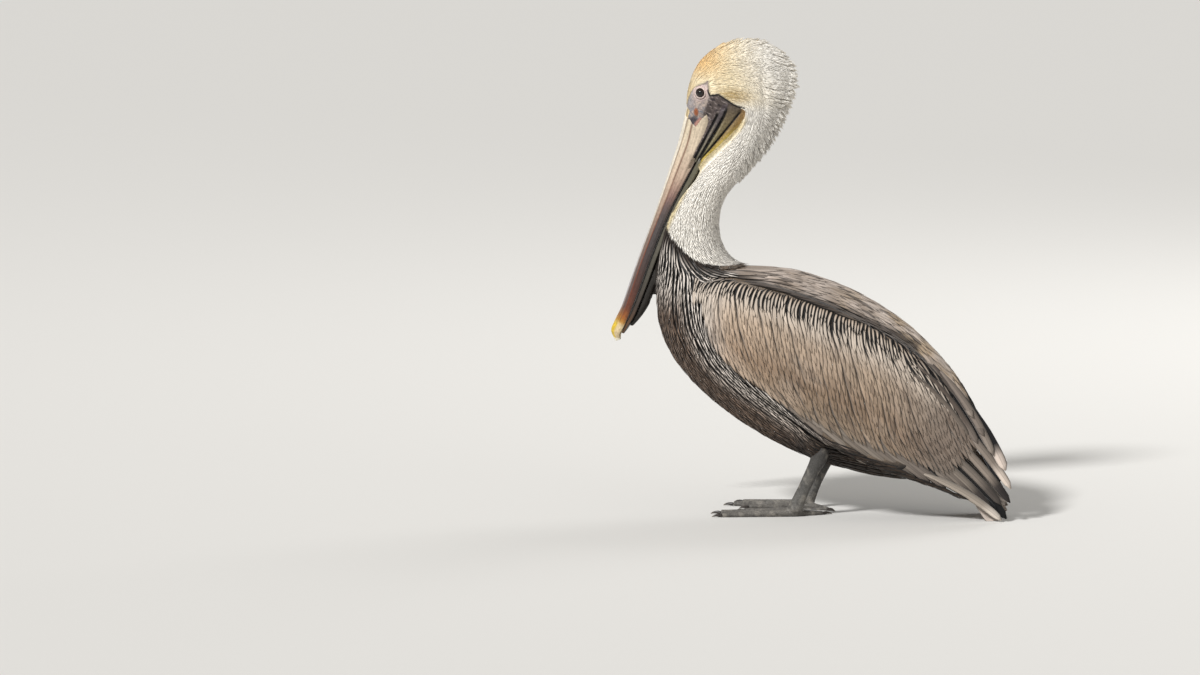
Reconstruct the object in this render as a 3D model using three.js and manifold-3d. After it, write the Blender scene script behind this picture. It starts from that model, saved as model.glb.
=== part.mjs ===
// A brown pelican standing at rest, its bill laid along the front of its neck: a life-size still model.
// Millimetres, +Z up. -X is towards the bill, +X towards the tail and +Y is the bird's right-hand side.
// The body is one long loft from the face to the rump. It is parted into nodes by thin cuts, and the
// bill, eyes, wings, tail, legs, feet and claws fit round it with a small gap.
import * as THREE from "three";
import { mergeVertices } from "three/addons/utils/BufferGeometryUtils.js";
import Module from "manifold-3d";

const wasm = await Module();
wasm.setup();

// ---- Driving dimensions -------------------------------------------------------------------------

const GAP = 0.3; // between pieces that touch
const LENGTH_GAP = 0.03; // between two lengths of the body, as a share of the way to the next station
const BODY_SIDES = 24;
const FAR = 1000; // longer than the bird, for cutting blocks and sight lines

const EYE_RADIUS = 7.5;
const EYE_AT = [-126, 538]; // x and z of the eye's centre
const EYE_PROUD = 2.6; // how far the eyeball stands out of the side of the face

const FOOT_Y = 42; // from the middle of the bird to the middle of each foot
const WEB_THICK = 2.6;
const FRONT_WEB_HOLLOW = 0.16; // how far the web's edge is drawn in from its toes' tips towards the ankle
const HIND_WEB_HOLLOW = 0.45;
const HEEL_BACK = 4; // from the ankle to the web's outer rear corner
const TOE_LIFT = 0.7; // height of a toe's middle line over its radius
const ANKLE_HEIGHT = 15; // where the leg's node meets the foot's
const CLAW_LENGTH = 13;
const CLAW_RADIUS = 2.4;
const CLAW_BEND_RADIUS = 1.9;
const CLAW_TIP_RADIUS = 0.6;

// Stations of the body, from the face round the crown, down the neck and back to the rump. Each has the
// outline's point on the crown, nape and back side, the one on the throat, breast and belly side, the half
// width between them, and how far down from the first point the body is widest.
const BODY = [
  { top: [-149, 523], bottom: [-130, 500], half: 18, widest: 0.55 },
  { top: [-145, 551], bottom: [-115, 502], half: 23, widest: 0.6 },
  { top: [-131, 579], bottom: [-102, 506], half: 27, widest: 0.62 },
  { top: [-105, 599], bottom: [-89, 508], half: 30, widest: 0.62 },
  { top: [-71, 606], bottom: [-79, 508], half: 32, widest: 0.62 },
  { top: [-39, 599], bottom: [-72, 506], half: 32, widest: 0.6 },
  { top: [-16, 579], bottom: [-73, 499], half: 31, widest: 0.58 },
  { top: [-9, 556], bottom: [-78, 490], half: 29, widest: 0.55 },
  { top: [-16, 528], bottom: [-88, 479], half: 27, widest: 0.52 },
  { top: [-29, 497], bottom: [-102, 466], half: 26, widest: 0.5 },
  { top: [-56, 453], bottom: [-124, 446], half: 26, widest: 0.5 },
  { top: [-81, 423], bottom: [-147, 421], half: 27, widest: 0.5 },
  { top: [-97, 404], bottom: [-163, 398], half: 28, widest: 0.5 },
  { top: [-105, 382], bottom: [-173, 376], half: 30, widest: 0.5 },
  { top: [-105, 355], bottom: [-182, 347], half: 33, widest: 0.5 },
  { top: [-97, 334], bottom: [-187, 315], half: 37, widest: 0.5 },
  { top: [-81, 320], bottom: [-188, 279], half: 49, widest: 0.48 },
  { top: [-50, 316], bottom: [-184, 238], half: 65, widest: 0.46 },
  { top: [-13, 313], bottom: [-167, 198], half: 77, widest: 0.45 },
  { top: [26, 303], bottom: [-133, 158], half: 82, widest: 0.44 },
  { top: [65, 289], bottom: [-85, 120], half: 83, widest: 0.43 },
  { top: [105, 268], bottom: [-33, 90], half: 79, widest: 0.42 },
  { top: [141, 244], bottom: [24, 66], half: 70, widest: 0.42 },
  { top: [173, 214], bottom: [79, 53], half: 57, widest: 0.42 },
  { top: [203, 180], bottom: [131, 46], half: 44, widest: 0.44 },
  { top: [219, 150], bottom: [166, 50], half: 34, widest: 0.46 },
  { top: [220, 130], bottom: [184, 66], half: 20, widest: 0.5 },
];

// The lengths of the body, each between two of those stations counted from the first.
const LENGTHS = [
  { name: "head", from: 0, to: 9.3, finish: "creamPlumage" },
  { name: "neck_upper", from: 9.3, to: 11.3, finish: "whitePlumage" },
  { name: "neck_middle", from: 11.3, to: 13.5, finish: "whitePlumage" },
  { name: "neck_lower", from: 13.5, to: 15.5, finish: "whitePlumage" },
  { name: "trunk", from: 15.5, to: 26, finish: "greyPlumage" },
];

const UPPER_BILL = [
  { top: [-147, 524], bottom: [-111, 511], half: 19 },
  { top: [-158, 478], bottom: [-122, 474], half: 18 },
  { top: [-168, 447], bottom: [-137, 444], half: 16.5 },
  { top: [-188, 387], bottom: [-168, 385], half: 15 },
  { top: [-209, 330], bottom: [-192, 327], half: 14 },
  { top: [-222, 293], bottom: [-206, 289], half: 13 },
  { top: [-233, 261], bottom: [-219, 256], half: 11.5 },
  { top: [-243, 240], bottom: [-229, 234], half: 9.5 },
  { top: [-247, 228], bottom: [-235, 224], half: 7 },
  { top: [-241, 215], bottom: [-235, 217], half: 2.5 },
];
const LOWER_BILL = [
  { top: [-107, 520], bottom: [-93, 515], half: 24 },
  { top: [-121.5, 473], bottom: [-111, 468], half: 20 },
  { top: [-136.5, 443], bottom: [-128.5, 439.5], half: 17 },
  { top: [-167.5, 384], bottom: [-159.5, 381], half: 14.5 },
  { top: [-191.5, 326], bottom: [-184, 323], half: 13.5 },
  { top: [-205.5, 288], bottom: [-198.5, 285], half: 12 },
  { top: [-218.5, 255], bottom: [-212.5, 252], half: 10 },
  { top: [-229, 234], bottom: [-225, 232], half: 7 },
  { top: [-233, 226], bottom: [-230, 225], half: 4 },
];
const POUCH = [
  { top: [-92, 521], bottom: [-66, 514], half: 27 },
  { top: [-97, 503], bottom: [-73, 489], half: 25 },
  { top: [-110.5, 467.5], bottom: [-100, 457], half: 18.5 },
  { top: [-128, 439], bottom: [-119, 431], half: 15.5 },
  { top: [-159, 380.5], bottom: [-151, 377], half: 12 },
  { top: [-183.5, 322.5], bottom: [-176, 319], half: 11 },
  { top: [-198, 284.5], bottom: [-187, 281], half: 10 },
  { top: [-212, 251.5], bottom: [-206, 249], half: 7 },
  { top: [-222, 236], bottom: [-219, 234], half: 4 },
];

// Stations of the left wing, from the wrist to the tip: its upper and lower edges, how far it bows out
// between them, and its thickness.
const WING = [
  { upper: [-120, -57, 297], lower: [-121, -60, 275], bow: 4, thick: 14 },
  { upper: [-88, -63, 304], lower: [-107, -80, 229], bow: 11, thick: 28 },
  { upper: [-38, -65, 301], lower: [-70, -90, 187], bow: 15, thick: 32 },
  { upper: [17, -62, 285], lower: [-18, -89, 148], bow: 18, thick: 26 },
  { upper: [69, -61, 264], lower: [32, -88, 110], bow: 19, thick: 24 },
  { upper: [122, -58, 238], lower: [82, -82, 81], bow: 16, thick: 22 },
  { upper: [165, -52, 209], lower: [135, -72, 60], bow: 11, thick: 16 },
  { upper: [203, -47, 165], lower: [183, -61, 44], bow: 7, thick: 11 },
  { upper: [231, -46, 111], lower: [213, -54, 30], bow: 4, thick: 7 },
  { upper: [253, -45, 62], lower: [242, -49, 17], bow: 2, thick: 5 },
  { upper: [272, -43, 16], lower: [270, -44, 7], bow: 0.5, thick: 3 },
];
const PRIMARIES_CUT = { at: [196, 100], along: [0.55, -0.83] };

// Stations of the tail, a closed fan arched like a roof: its ridge, half width, how far its sides droop
// below the ridge, and its thickness.
const TAIL = [
  { ridge: [150, 128], half: 22, droop: 8, thick: 22 },
  { ridge: [196, 96], half: 30, droop: 18, thick: 16 },
  { ridge: [232, 68], half: 35, droop: 30, thick: 9 },
  { ridge: [256, 46], half: 37, droop: 43, thick: 6 },
  { ridge: [270, 36], half: 31, droop: 33, thick: 3 },
];

// The left leg below the feathers, as points down its middle with half its depth and half its width.
const SHANK = [
  { at: [38, 90], deep: 9, wide: 8 },
  { at: [34, 79], deep: 10.5, wide: 8.5 },
  { at: [25, 61], deep: 8.5, wide: 6.5 },
  { at: [14, 38], deep: 7.8, wide: 6 },
  { at: [6, 20], deep: 8.5, wide: 7 },
  { at: [1, 8], deep: 10, wide: 9 },
];
const THIGH = [
  { at: [6, 144], deep: 22, wide: 18 },
  { at: [15, 120], deep: 27, wide: 22 },
  { at: [28, 94], deep: 21, wide: 17 },
  { at: [36, 76], deep: 12.5, wide: 11 },
];
const THIGH_Y = 36;

// Toes of the left foot, from the ankle: the tip's distance forward and inward, and the radius at each end.
const TOES = [
  { name: "outer", reach: [88, -27], root: 6.5, tip: 3.2 },
  { name: "middle", reach: [95, 0], root: 7, tip: 3.4 },
  { name: "inner", reach: [70, 24], root: 6.5, tip: 3.2 },
  { name: "hind", reach: [-33, 23], root: 5.5, tip: 3 },
];

// ---- Materials ----------------------------------------------------------------------------------

const paint = (color, roughness) => new THREE.MeshStandardMaterial({ color, roughness, metalness: 0 });
const FINISH = {
  whitePlumage: paint(0xe9e4d8, 0.9),
  creamPlumage: paint(0xead9a0, 0.9),
  greyPlumage: paint(0x8f8478, 0.85),
  darkPlumage: paint(0x5a5048, 0.85),
  billHorn: paint(0xb8a596, 0.5),
  pouchSkin: paint(0x55503f, 0.6),
  eye: paint(0x1c1512, 0.1),
  legSkin: paint(0x56534e, 0.65),
  claw: paint(0x2a2725, 0.4),
};

// ---- Solids -------------------------------------------------------------------------------------

const PER_STATION = 1.5; // rings of the body for each of its stations
const ROOF_RISE = 0.75; // how far the flanks of the upper bill slope down, as a share of its depth
const ROOF_BEND = 1.6;

// A smooth curve through three values read from every station.
const through = (stations, read) =>
  new THREE.CatmullRomCurve3(stations.map((s) => new THREE.Vector3(...read(s))));

// A closed solid from rings of points, with a flat cap over each end ring. A grown one is longer at both
// ends too.
function skin(rings, grow = 0) {
  const sides = rings[0].length;
  const middleOf = (ring) => ring.reduce((sum, p) => sum.add(p), new THREE.Vector3()).divideScalar(sides);
  const middles = rings.map(middleOf);
  for (const [end, next] of [[0, 1], [rings.length - 1, rings.length - 2]]) {
    const onward = middles[end].clone().sub(middles[next]).setLength(grow);
    for (const point of [...rings[end], middles[end]]) point.add(onward);
  }
  const points = rings.flat();
  const faces = [];
  for (let r = 0; r + 1 < rings.length; r++)
    for (let k = 0; k < sides; k++) {
      const a = r * sides + k;
      const b = r * sides + ((k + 1) % sides);
      // The diagonals of one side mirror those of the other, so that a symmetric loft stays symmetric.
      if (2 * k < sides) faces.push(a, b, a + sides, b, b + sides, a + sides);
      else faces.push(a, b, b + sides, a, b + sides, a + sides);
    }
  for (const [end, first] of [[0, 0], [rings.length - 1, (rings.length - 1) * sides]]) {
    points.push(middles[end]);
    for (let k = 0; k < sides; k++) {
      const edge = [first + k, first + ((k + 1) % sides)];
      faces.push(points.length - 1, ...(first ? edge : edge.reverse()));
    }
  }
  const geometry = new THREE.BufferGeometry().setFromPoints(points);
  geometry.setIndex(faces);
  return solid(geometry);
}

// A three.js geometry as a manifold-3d solid, turned to face outwards.
function solid(geometry) {
  for (const name of ["normal", "uv"]) geometry.deleteAttribute(name);
  const merged = mergeVertices(geometry, 1e-4);
  const vertProperties = merged.attributes.position.array;
  const mesh = (triVerts) => new wasm.Manifold(new wasm.Mesh({ numProp: 3, vertProperties, triVerts }));
  const faces = new Uint32Array(merged.index.array);
  const made = mesh(faces);
  if (made.volume() > 0) return made;
  for (let i = 0; i < faces.length; i += 3) [faces[i + 1], faces[i + 2]] = [faces[i + 2], faces[i + 1]];
  return mesh(faces);
}

// How far across and how far down each point of a section lies, as shares of its half width and its depth.
const SECTIONS = {
  // Two half ovals that meet at the widest place.
  round: (turn, widest) => {
    const down = -Math.cos(turn);
    const across = Math.sin(turn);
    return [across, down < 0 ? widest * (1 + down) : widest + down * (1 - widest)];
  },
  // A ridge along the culmen, sloping flanks and a flat underside.
  roof: (turn) => {
    const across = Math.sin(turn);
    return [across, Math.cos(turn) > 0 ? ROOF_RISE * Math.abs(across) ** ROOF_BEND : 1];
  },
  // A rectangle.
  bar: (turn) => {
    const stretch = 1 / Math.max(Math.abs(Math.sin(turn)), Math.abs(Math.cos(turn)));
    return [Math.sin(turn) * stretch, 0.5 - 0.5 * Math.cos(turn) * stretch];
  },
  // Half an oval below a flat top.
  keel: (turn) => [Math.sin(turn), Math.cos(turn) > 0 ? 0 : -Math.cos(turn)],
};

// Lofts one of those sections along stations in the bird's middle plane, grown by a little if asked, and
// only between two of the stations if told which.
function loft(stations, section, density, sides, { grow = 0, from = 0, to = stations.length - 1 } = {}) {
  const tops = through(stations, (s) => [s.top[0], 0, s.top[1]]);
  const bottoms = through(stations, (s) => [s.bottom[0], 0, s.bottom[1]]);
  const widths = through(stations, (s) => [s.half, s.widest ?? 0.5, 0]);
  const rings = Math.round((to - from) * density);
  const made = [];
  for (let r = 0; r <= rings; r++) {
    const t = (from + ((to - from) * r) / rings) / (stations.length - 1);
    const top = tops.getPoint(t);
    const bottom = bottoms.getPoint(t);
    const { x: half, y: widest } = widths.getPoint(t);
    const outward = top.clone().sub(bottom).setLength(grow);
    top.add(outward);
    bottom.sub(outward);
    made.push(
      Array.from({ length: sides }, (_, k) => {
        const [across, down] = SECTIONS[section]((2 * Math.PI * k) / sides, widest);
        return top.clone().lerp(bottom, down).add(new THREE.Vector3(0, across * (half + grow), 0));
      }),
    );
  }
  return skin(made, grow);
}

// A bowed slab between two edges, for a folded wing.
function slab(stations, rings, across, grow = 0) {
  const edges = ["upper", "lower"].map((edge) => through(stations, (s) => s[edge]));
  const sizes = through(stations, (s) => [s.bow, s.thick, 0]);
  const made = [];
  for (let r = 0; r <= rings; r++) {
    const [upper, lower] = edges.map((curve) => curve.getPoint(r / rings));
    const { x: bow, y: thick } = sizes.getPoint(r / rings);
    const reach = lower.clone().sub(upper).setLength(grow);
    upper.sub(reach);
    lower.add(reach);
    const arc = (t, y) =>
      upper.clone().lerp(lower, t).add(new THREE.Vector3(0, -bow * Math.sin(Math.PI * t) + y, 0));
    const steps = Array.from({ length: across + 1 }, (_, k) => k / across);
    made.push([...steps.map((t) => arc(t, -grow)), ...steps.reverse().map((t) => arc(t, thick + grow))]);
  }
  return skin(made, grow);
}

// An arched slab along a ridge in the middle plane, for the tail.
function fan(stations, rings, across) {
  const ridge = through(stations, (s) => [s.ridge[0], 0, s.ridge[1]]);
  const sizes = through(stations, (s) => [s.half, s.droop, s.thick]);
  const made = [];
  for (let r = 0; r <= rings; r++) {
    const top = ridge.getPoint(r / rings);
    const { x: half, y: droop, z: thick } = sizes.getPoint(r / rings);
    const arch = (t, drop) => top.clone().add(new THREE.Vector3(0, half * t, -droop * t * t - drop));
    const steps = Array.from({ length: across + 1 }, (_, k) => (2 * k) / across - 1);
    made.push([...steps.map((t) => arch(t, 0)), ...steps.reverse().map((t) => arch(t, thick))]);
  }
  return skin(made);
}

// A limb with oval sections across its own line, in a plane beside the bird's middle.
function limb(stations, y, rings, sides, grow = 0) {
  const line = through(stations, (s) => [s.at[0], y, s.at[1]]);
  const sizes = through(stations, (s) => [s.deep, s.wide, 0]);
  const made = [];
  for (let r = 0; r <= rings; r++) {
    const middle = line.getPoint(r / rings);
    const along = line.getTangent(r / rings);
    const { x: deep, y: wide } = sizes.getPoint(r / rings);
    const forward = new THREE.Vector3(-along.z, 0, along.x);
    made.push(
      Array.from({ length: sides }, (_, k) => {
        const turn = (2 * Math.PI * k) / sides;
        return middle
          .clone()
          .addScaledVector(forward, Math.cos(turn) * (deep + grow))
          .add(new THREE.Vector3(0, Math.sin(turn) * (wide + grow), 0));
      }),
    );
  }
  return skin(made, grow);
}

// A tapered rod with round sections between two points.
function rod(from, to, r0, r1, sides = 6) {
  const height = from.distanceTo(to);
  const geometry = new THREE.CylinderGeometry(r1, r0, height, sides);
  const turn = new THREE.Quaternion().setFromUnitVectors(
    new THREE.Vector3(0, 1, 0),
    to.clone().sub(from).normalize(),
  );
  geometry.applyQuaternion(turn);
  geometry.translate(...from.clone().add(to).multiplyScalar(0.5));
  return solid(geometry);
}

function ball(centre, radius, rows = 7) {
  const geometry = new THREE.SphereGeometry(radius, 2 * rows, rows);
  geometry.translate(...centre);
  return solid(geometry);
}

// A block that fills one side of a plane given in the bird's middle plane, for parting a solid there.
function halfSpace({ at, along }, shift = 0) {
  const normal = new THREE.Vector3(along[0], 0, along[1]).normalize();
  const geometry = new THREE.BoxGeometry(FAR, FAR, FAR);
  geometry.applyQuaternion(new THREE.Quaternion().setFromUnitVectors(new THREE.Vector3(0, 0, 1), normal));
  const middle = new THREE.Vector3(at[0], 0, at[1]).addScaledVector(normal, FAR / 2 + shift);
  geometry.translate(...middle);
  return solid(geometry);
}

// Parts a solid at a plane with a thin gap: what lies before the plane, and what lies past it.
function part(whole, plane) {
  return [whole.subtract(halfSpace(plane, -GAP / 2)), whole.intersect(halfSpace(plane, GAP / 2))];
}

const union = (solids) => solids.reduce((whole, piece) => whole.add(piece));

// The largest piece of a solid, without the crumbs that a cut can leave beside it.
function mainPiece(whole) {
  return whole.decompose().sort((a, b) => b.volume() - a.volume())[0];
}

const mirrored = (left) => left.mirror([0, 1, 0]);

// ---- The bird -----------------------------------------------------------------------------------

const model = new THREE.Group();

// A manifold-3d solid as a three.js geometry.
function geometryOf(whole) {
  const { vertProperties, triVerts } = whole.getMesh();
  const geometry = new THREE.BufferGeometry();
  geometry.setAttribute("position", new THREE.BufferAttribute(vertProperties, 3));
  geometry.setIndex(new THREE.BufferAttribute(triVerts, 1));
  geometry.computeVertexNormals();
  return geometry;
}

function add(name, whole, finish) {
  const mesh = new THREE.Mesh(geometryOf(whole), FINISH[finish]);
  mesh.name = name;
  model.add(mesh);
}

function addPair(name, left, finish) {
  add(`${name}_left`, left, finish);
  add(`${name}_right`, mirrored(left), finish);
}

// Bill: the upper half with its ridge and nail, the lower half's two rods as one bar, and the pouch.
const ROOM = { grow: GAP };
const upperBill = loft(UPPER_BILL, "roof", 2, 16);
const upperRoom = loft(UPPER_BILL, "roof", 2, 16, ROOM);
const lowerBill = loft(LOWER_BILL, "bar", 1, 8).subtract(upperRoom);
const lowerRoom = loft(LOWER_BILL, "bar", 1, 8, ROOM);
const pouch = loft(POUCH, "keel", 2, 12).subtract(lowerRoom).subtract(upperRoom);
const pouchRoom = loft(POUCH, "keel", 2, 12, ROOM);
add("bill_upper", upperBill, "billHorn");
add("bill_lower", mainPiece(lowerBill), "billHorn");
add("pouch", mainPiece(pouch), "pouchSkin");

// Head, neck and trunk, cut clear of the bill and eyes.
const bodyLength = ({ from, to }, grow = 0) =>
  loft(BODY, "round", PER_STATION, BODY_SIDES, { grow, from: from && from + LENGTH_GAP, to });
const body = union(LENGTHS.map((length) => bodyLength(length)));
const bodyRoom = union(LENGTHS.map((length) => bodyLength(length, GAP)));

// Half the body's width at a place seen from its side, found by looking in along Y.
function sideOf(x, z) {
  const sight = new THREE.Raycaster(new THREE.Vector3(x, -FAR, z), new THREE.Vector3(0, 1, 0));
  const [nearest] = sight.intersectObject(new THREE.Mesh(geometryOf(body)));
  return -nearest.point.y;
}
const eyeDepth = sideOf(...EYE_AT) + EYE_PROUD - EYE_RADIUS;
const eyeCentre = new THREE.Vector3(EYE_AT[0], -eyeDepth, EYE_AT[1]);
const eye = ball(eyeCentre, EYE_RADIUS);
const eyeRoom = ball(eyeCentre, EYE_RADIUS + GAP);

const fittings = [upperRoom, lowerRoom, pouchRoom, eyeRoom, mirrored(eyeRoom)];
for (const length of LENGTHS) {
  const cut = fittings.reduce((left, room) => left.subtract(room), bodyLength(length));
  add(length.name, mainPiece(cut), length.finish);
}
addPair("eye", eye, "eye");

// Wings, folded over the sides of the trunk, each parted where its long primaries show.
const floor = halfSpace({ at: [0, 0], along: [0, 1] });
const wing = slab(WING, 20, 6).subtract(bodyRoom).intersect(floor);
const wingRoom = slab(WING, 20, 6, GAP);
const [arm, primaries] = part(mainPiece(wing), PRIMARIES_CUT);
addPair("wing", mainPiece(arm), "greyPlumage");
addPair("primaries", mainPiece(primaries), "darkPlumage");

// Tail, cut clear of the rump and wings and resting on the floor by the tips of its outer feathers.
const tail = fan(TAIL, 8, 8).subtract(bodyRoom).subtract(wingRoom).subtract(mirrored(wingRoom));
add("tail", mainPiece(tail.intersect(floor)), "greyPlumage");

// Legs and feet, flat underneath.
const thigh = limb(THIGH, -THIGH_Y, 6, 16).subtract(bodyRoom).subtract(wingRoom);
addPair("thigh", mainPiece(thigh), "darkPlumage");
const thighRoom = limb(THIGH, -THIGH_Y, 6, 16, GAP);

// A toe's two ends, low enough for the floor to cut a flat along its underside.
function toeLine({ reach, root, tip }) {
  const ankle = new THREE.Vector3(0, -FOOT_Y, root * TOE_LIFT);
  return [ankle, new THREE.Vector3(-reach[0], -FOOT_Y + reach[1], tip * TOE_LIFT)];
}
const toeTips = TOES.map((toe) => toeLine(toe)[1]);

// The web spans the three front toes, with a hollow edge between their tips, and joins the hind toe.
function webOutline() {
  const [outer, middle, inner, hind] = toeTips;
  const shape = new THREE.Shape();
  const hollow = (from, to, share) => {
    const dip = from.clone().add(to).multiplyScalar(0.5).lerp(new THREE.Vector3(0, -FOOT_Y, 0), share);
    shape.quadraticCurveTo(dip.x, dip.y, to.x, to.y);
  };
  shape.moveTo(outer.x, outer.y);
  hollow(outer, middle, FRONT_WEB_HOLLOW);
  hollow(middle, inner, FRONT_WEB_HOLLOW);
  hollow(inner, hind, HIND_WEB_HOLLOW);
  shape.lineTo(HEEL_BACK, -FOOT_Y - HEEL_BACK);
  shape.closePath();
  return shape;
}
const webSizes = { depth: WEB_THICK, bevelEnabled: false, curveSegments: 5 };
const web = solid(new THREE.ExtrudeGeometry(webOutline(), webSizes));

const shank = mainPiece(limb(SHANK, -FOOT_Y, 8, 12).subtract(thighRoom).subtract(bodyRoom));
const [leg, heel] = part(shank, { at: [0, ANKLE_HEIGHT], along: [0, -1] });
const toes = TOES.map((toe) => rod(...toeLine(toe), toe.root, toe.tip, 8));
const foot = mainPiece(union([web, heel, ...toes]).intersect(floor));
addPair("leg", mainPiece(leg), "legSkin");
addPair("foot", foot, "legSkin");

// Claws, one past each toe's tip, bent down by a shorter second length.
for (const toe of TOES) {
  const [from, to] = toeLine(toe);
  const along = to.clone().sub(from).normalize();
  const past = (distance) => to.clone().addScaledVector(along, distance);
  const [start, bend, end] = [GAP, CLAW_LENGTH / 2, CLAW_LENGTH].map(past);
  bend.z = CLAW_RADIUS;
  end.z = CLAW_TIP_RADIUS;
  const base = rod(start, bend, CLAW_RADIUS, CLAW_BEND_RADIUS);
  const claw = base.add(rod(bend, end, CLAW_BEND_RADIUS, CLAW_TIP_RADIUS));
  addPair(`claw_${toe.name}`, mainPiece(claw.intersect(floor).subtract(foot)), "claw");
}

// The model stands on z = 0 with the middle of its box on the Z axis.
const box = new THREE.Box3().setFromObject(model);
model.position.x = -(box.min.x + box.max.x) / 2;
model.updateMatrixWorld(true);

export default model;
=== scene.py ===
"""A brown pelican, life size: one skin under solid feathers, with horn bill, eyes and claws."""

import math
from contextlib import contextmanager
from itertools import product

import bmesh
import bpy
import numpy as np
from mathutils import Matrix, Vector
from mathutils.bvhtree import BVHTree


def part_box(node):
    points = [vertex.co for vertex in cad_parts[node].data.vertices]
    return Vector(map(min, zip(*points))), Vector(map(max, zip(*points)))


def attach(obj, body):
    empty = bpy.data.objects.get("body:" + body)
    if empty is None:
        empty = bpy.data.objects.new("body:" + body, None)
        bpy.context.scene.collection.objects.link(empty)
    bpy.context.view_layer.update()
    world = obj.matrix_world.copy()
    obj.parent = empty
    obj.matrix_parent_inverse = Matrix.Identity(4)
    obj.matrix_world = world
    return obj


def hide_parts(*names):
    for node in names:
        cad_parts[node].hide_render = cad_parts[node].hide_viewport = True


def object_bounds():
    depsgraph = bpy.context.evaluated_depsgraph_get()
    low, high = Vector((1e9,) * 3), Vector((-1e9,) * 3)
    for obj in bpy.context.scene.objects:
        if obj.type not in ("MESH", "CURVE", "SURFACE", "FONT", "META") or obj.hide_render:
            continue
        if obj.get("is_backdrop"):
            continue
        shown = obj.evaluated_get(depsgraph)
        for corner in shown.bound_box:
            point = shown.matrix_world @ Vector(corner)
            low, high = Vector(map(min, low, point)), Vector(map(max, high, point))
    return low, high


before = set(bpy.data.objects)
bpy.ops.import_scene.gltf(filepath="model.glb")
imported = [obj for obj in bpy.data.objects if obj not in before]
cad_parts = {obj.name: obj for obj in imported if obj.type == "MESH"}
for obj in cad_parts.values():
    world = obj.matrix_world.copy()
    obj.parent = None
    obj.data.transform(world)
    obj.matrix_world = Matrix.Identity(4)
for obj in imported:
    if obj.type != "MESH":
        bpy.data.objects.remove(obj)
CAD_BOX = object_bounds()

# ---- Places and sizes, in millimetres -----------------------------------------------------------
# x runs from the ankles towards the tail and z up from the floor. The middle of the eye ties them to
# the frame.

MM = 0.001
EYE = (-126.0, 538.0)
EYE_RADIUS = 7.5
eye_low, eye_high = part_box("eye_left")
X_ZERO = (eye_low[0] + eye_high[0]) / 2 - EYE[0] * MM
EYE_Y = -(eye_low[1] + eye_high[1]) / 2 / MM

FLESH = ["head", "neck_upper", "neck_middle", "neck_lower", "trunk", "pouch"]
FLESH += [f"{part}_{side}" for part in ("thigh", "wing", "leg", "foot") for side in ("left", "right")]
PLUMAGE = [name for name in FLESH if not name.startswith(("leg", "foot"))]
PLUMAGE += ["primaries_left", "primaries_right"]
TOES = ("outer", "middle", "inner", "hind")

# Outlines and lines in side view, as x and z.
# Edge of the bare face, from the forehead over the eye to the corner of the gape.
FACE_EDGE = [
    (-149, 503), (-147, 517), (-143, 530), (-137.5, 541), (-132, 546), (-125.5, 548.6), (-120, 550.7),
    (-115.7, 554), (-115, 547.6), (-114.4, 541), (-112.5, 536), (-107, 536.8), (-102, 537.8),
    (-97, 535), (-89, 529.5), (-81, 524), (-76, 522), (-67.3, 520.4),
]
# Rear edge of the pouch against the neck, from the gape down.
POUCH_EDGE = [
    (-67.3, 520.4), (-67.3, 516), (-70, 507), (-79, 494), (-95, 478), (-109, 465), (-122, 453),
    (-148, 416), (-161.5, 389), (-172, 367), (-177.6, 342), (-180.5, 328),
]
BARE_FACE = FACE_EDGE + POUCH_EDGE[1:] + [
    (-186.5, 300), (-189.5, 285), (-198, 262), (-209, 240), (-214, 222), (-262, 222), (-215, 328),
    (-162, 506),
]
FOREHEAD_HALF = 6.8  # half width of the strip of feathers that runs down to the bill
# Where the horn of the upper bill comes out of the skin, from the culmen round to the mouth.
HORN_EDGE = [
    (-165, 507), (-150, 504.5), (-143, 503), (-139, 498), (-134, 494.6), (-127.5, 503), (-118.5, 511),
    (-115.7, 501), (-119.7, 489), (-130, 469.5), (-139, 451), (-146, 438),
]
HORN_AREA = HORN_EDGE + [(-230, 438), (-230, 507)]
HORN_LOW = 440  # height below which the horn stands clear of the skin
# The line of the mouth and the folds of the pouch behind it.
MOUTH = [
    (-101.5, 515), (-108, 503), (-115, 490.5), (-124, 474), (-132.7, 457.3), (-147, 432), (-170, 384),
]
FOLDS = [
    [(-89.5, 523), (-96, 508), (-104, 494), (-112.5, 480), (-126, 458), (-141, 433), (-163, 384)],
    [(-73, 517), (-82, 505), (-92, 492.5), (-110, 471.5), (-122.3, 457), (-137, 437)],
]
# Where the white neck ends, from the peak in front to the back.
NECK_EDGE = [
    (-185, 340), (-178, 352), (-171.6, 365), (-166, 355), (-156, 346), (-145, 336), (-135, 327.5),
    (-124.5, 322.5), (-109, 319), (-93, 317.5), (-79, 318.4), (-60, 324),
]
NECK_AREA = NECK_EDGE + [(-40, 330), (60, 330), (60, 640), (-240, 640), (-240, 300), (-190, 300)]
# Upper edge of the folded wing, and its front and lower edge.
WING_TOP = [
    (-125, 313), (-97, 309), (-65, 303), (-25, 294), (20, 282), (66, 265), (99, 252), (132, 234),
    (155, 219),
]
WING_FRONT = [
    (-127, 305), (-114, 260), (-98, 219), (-77, 196), (-55, 180), (-22, 160), (4, 138), (37, 113),
    (82, 88), (122, 71), (167, 54), (203, 39),
]

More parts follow.
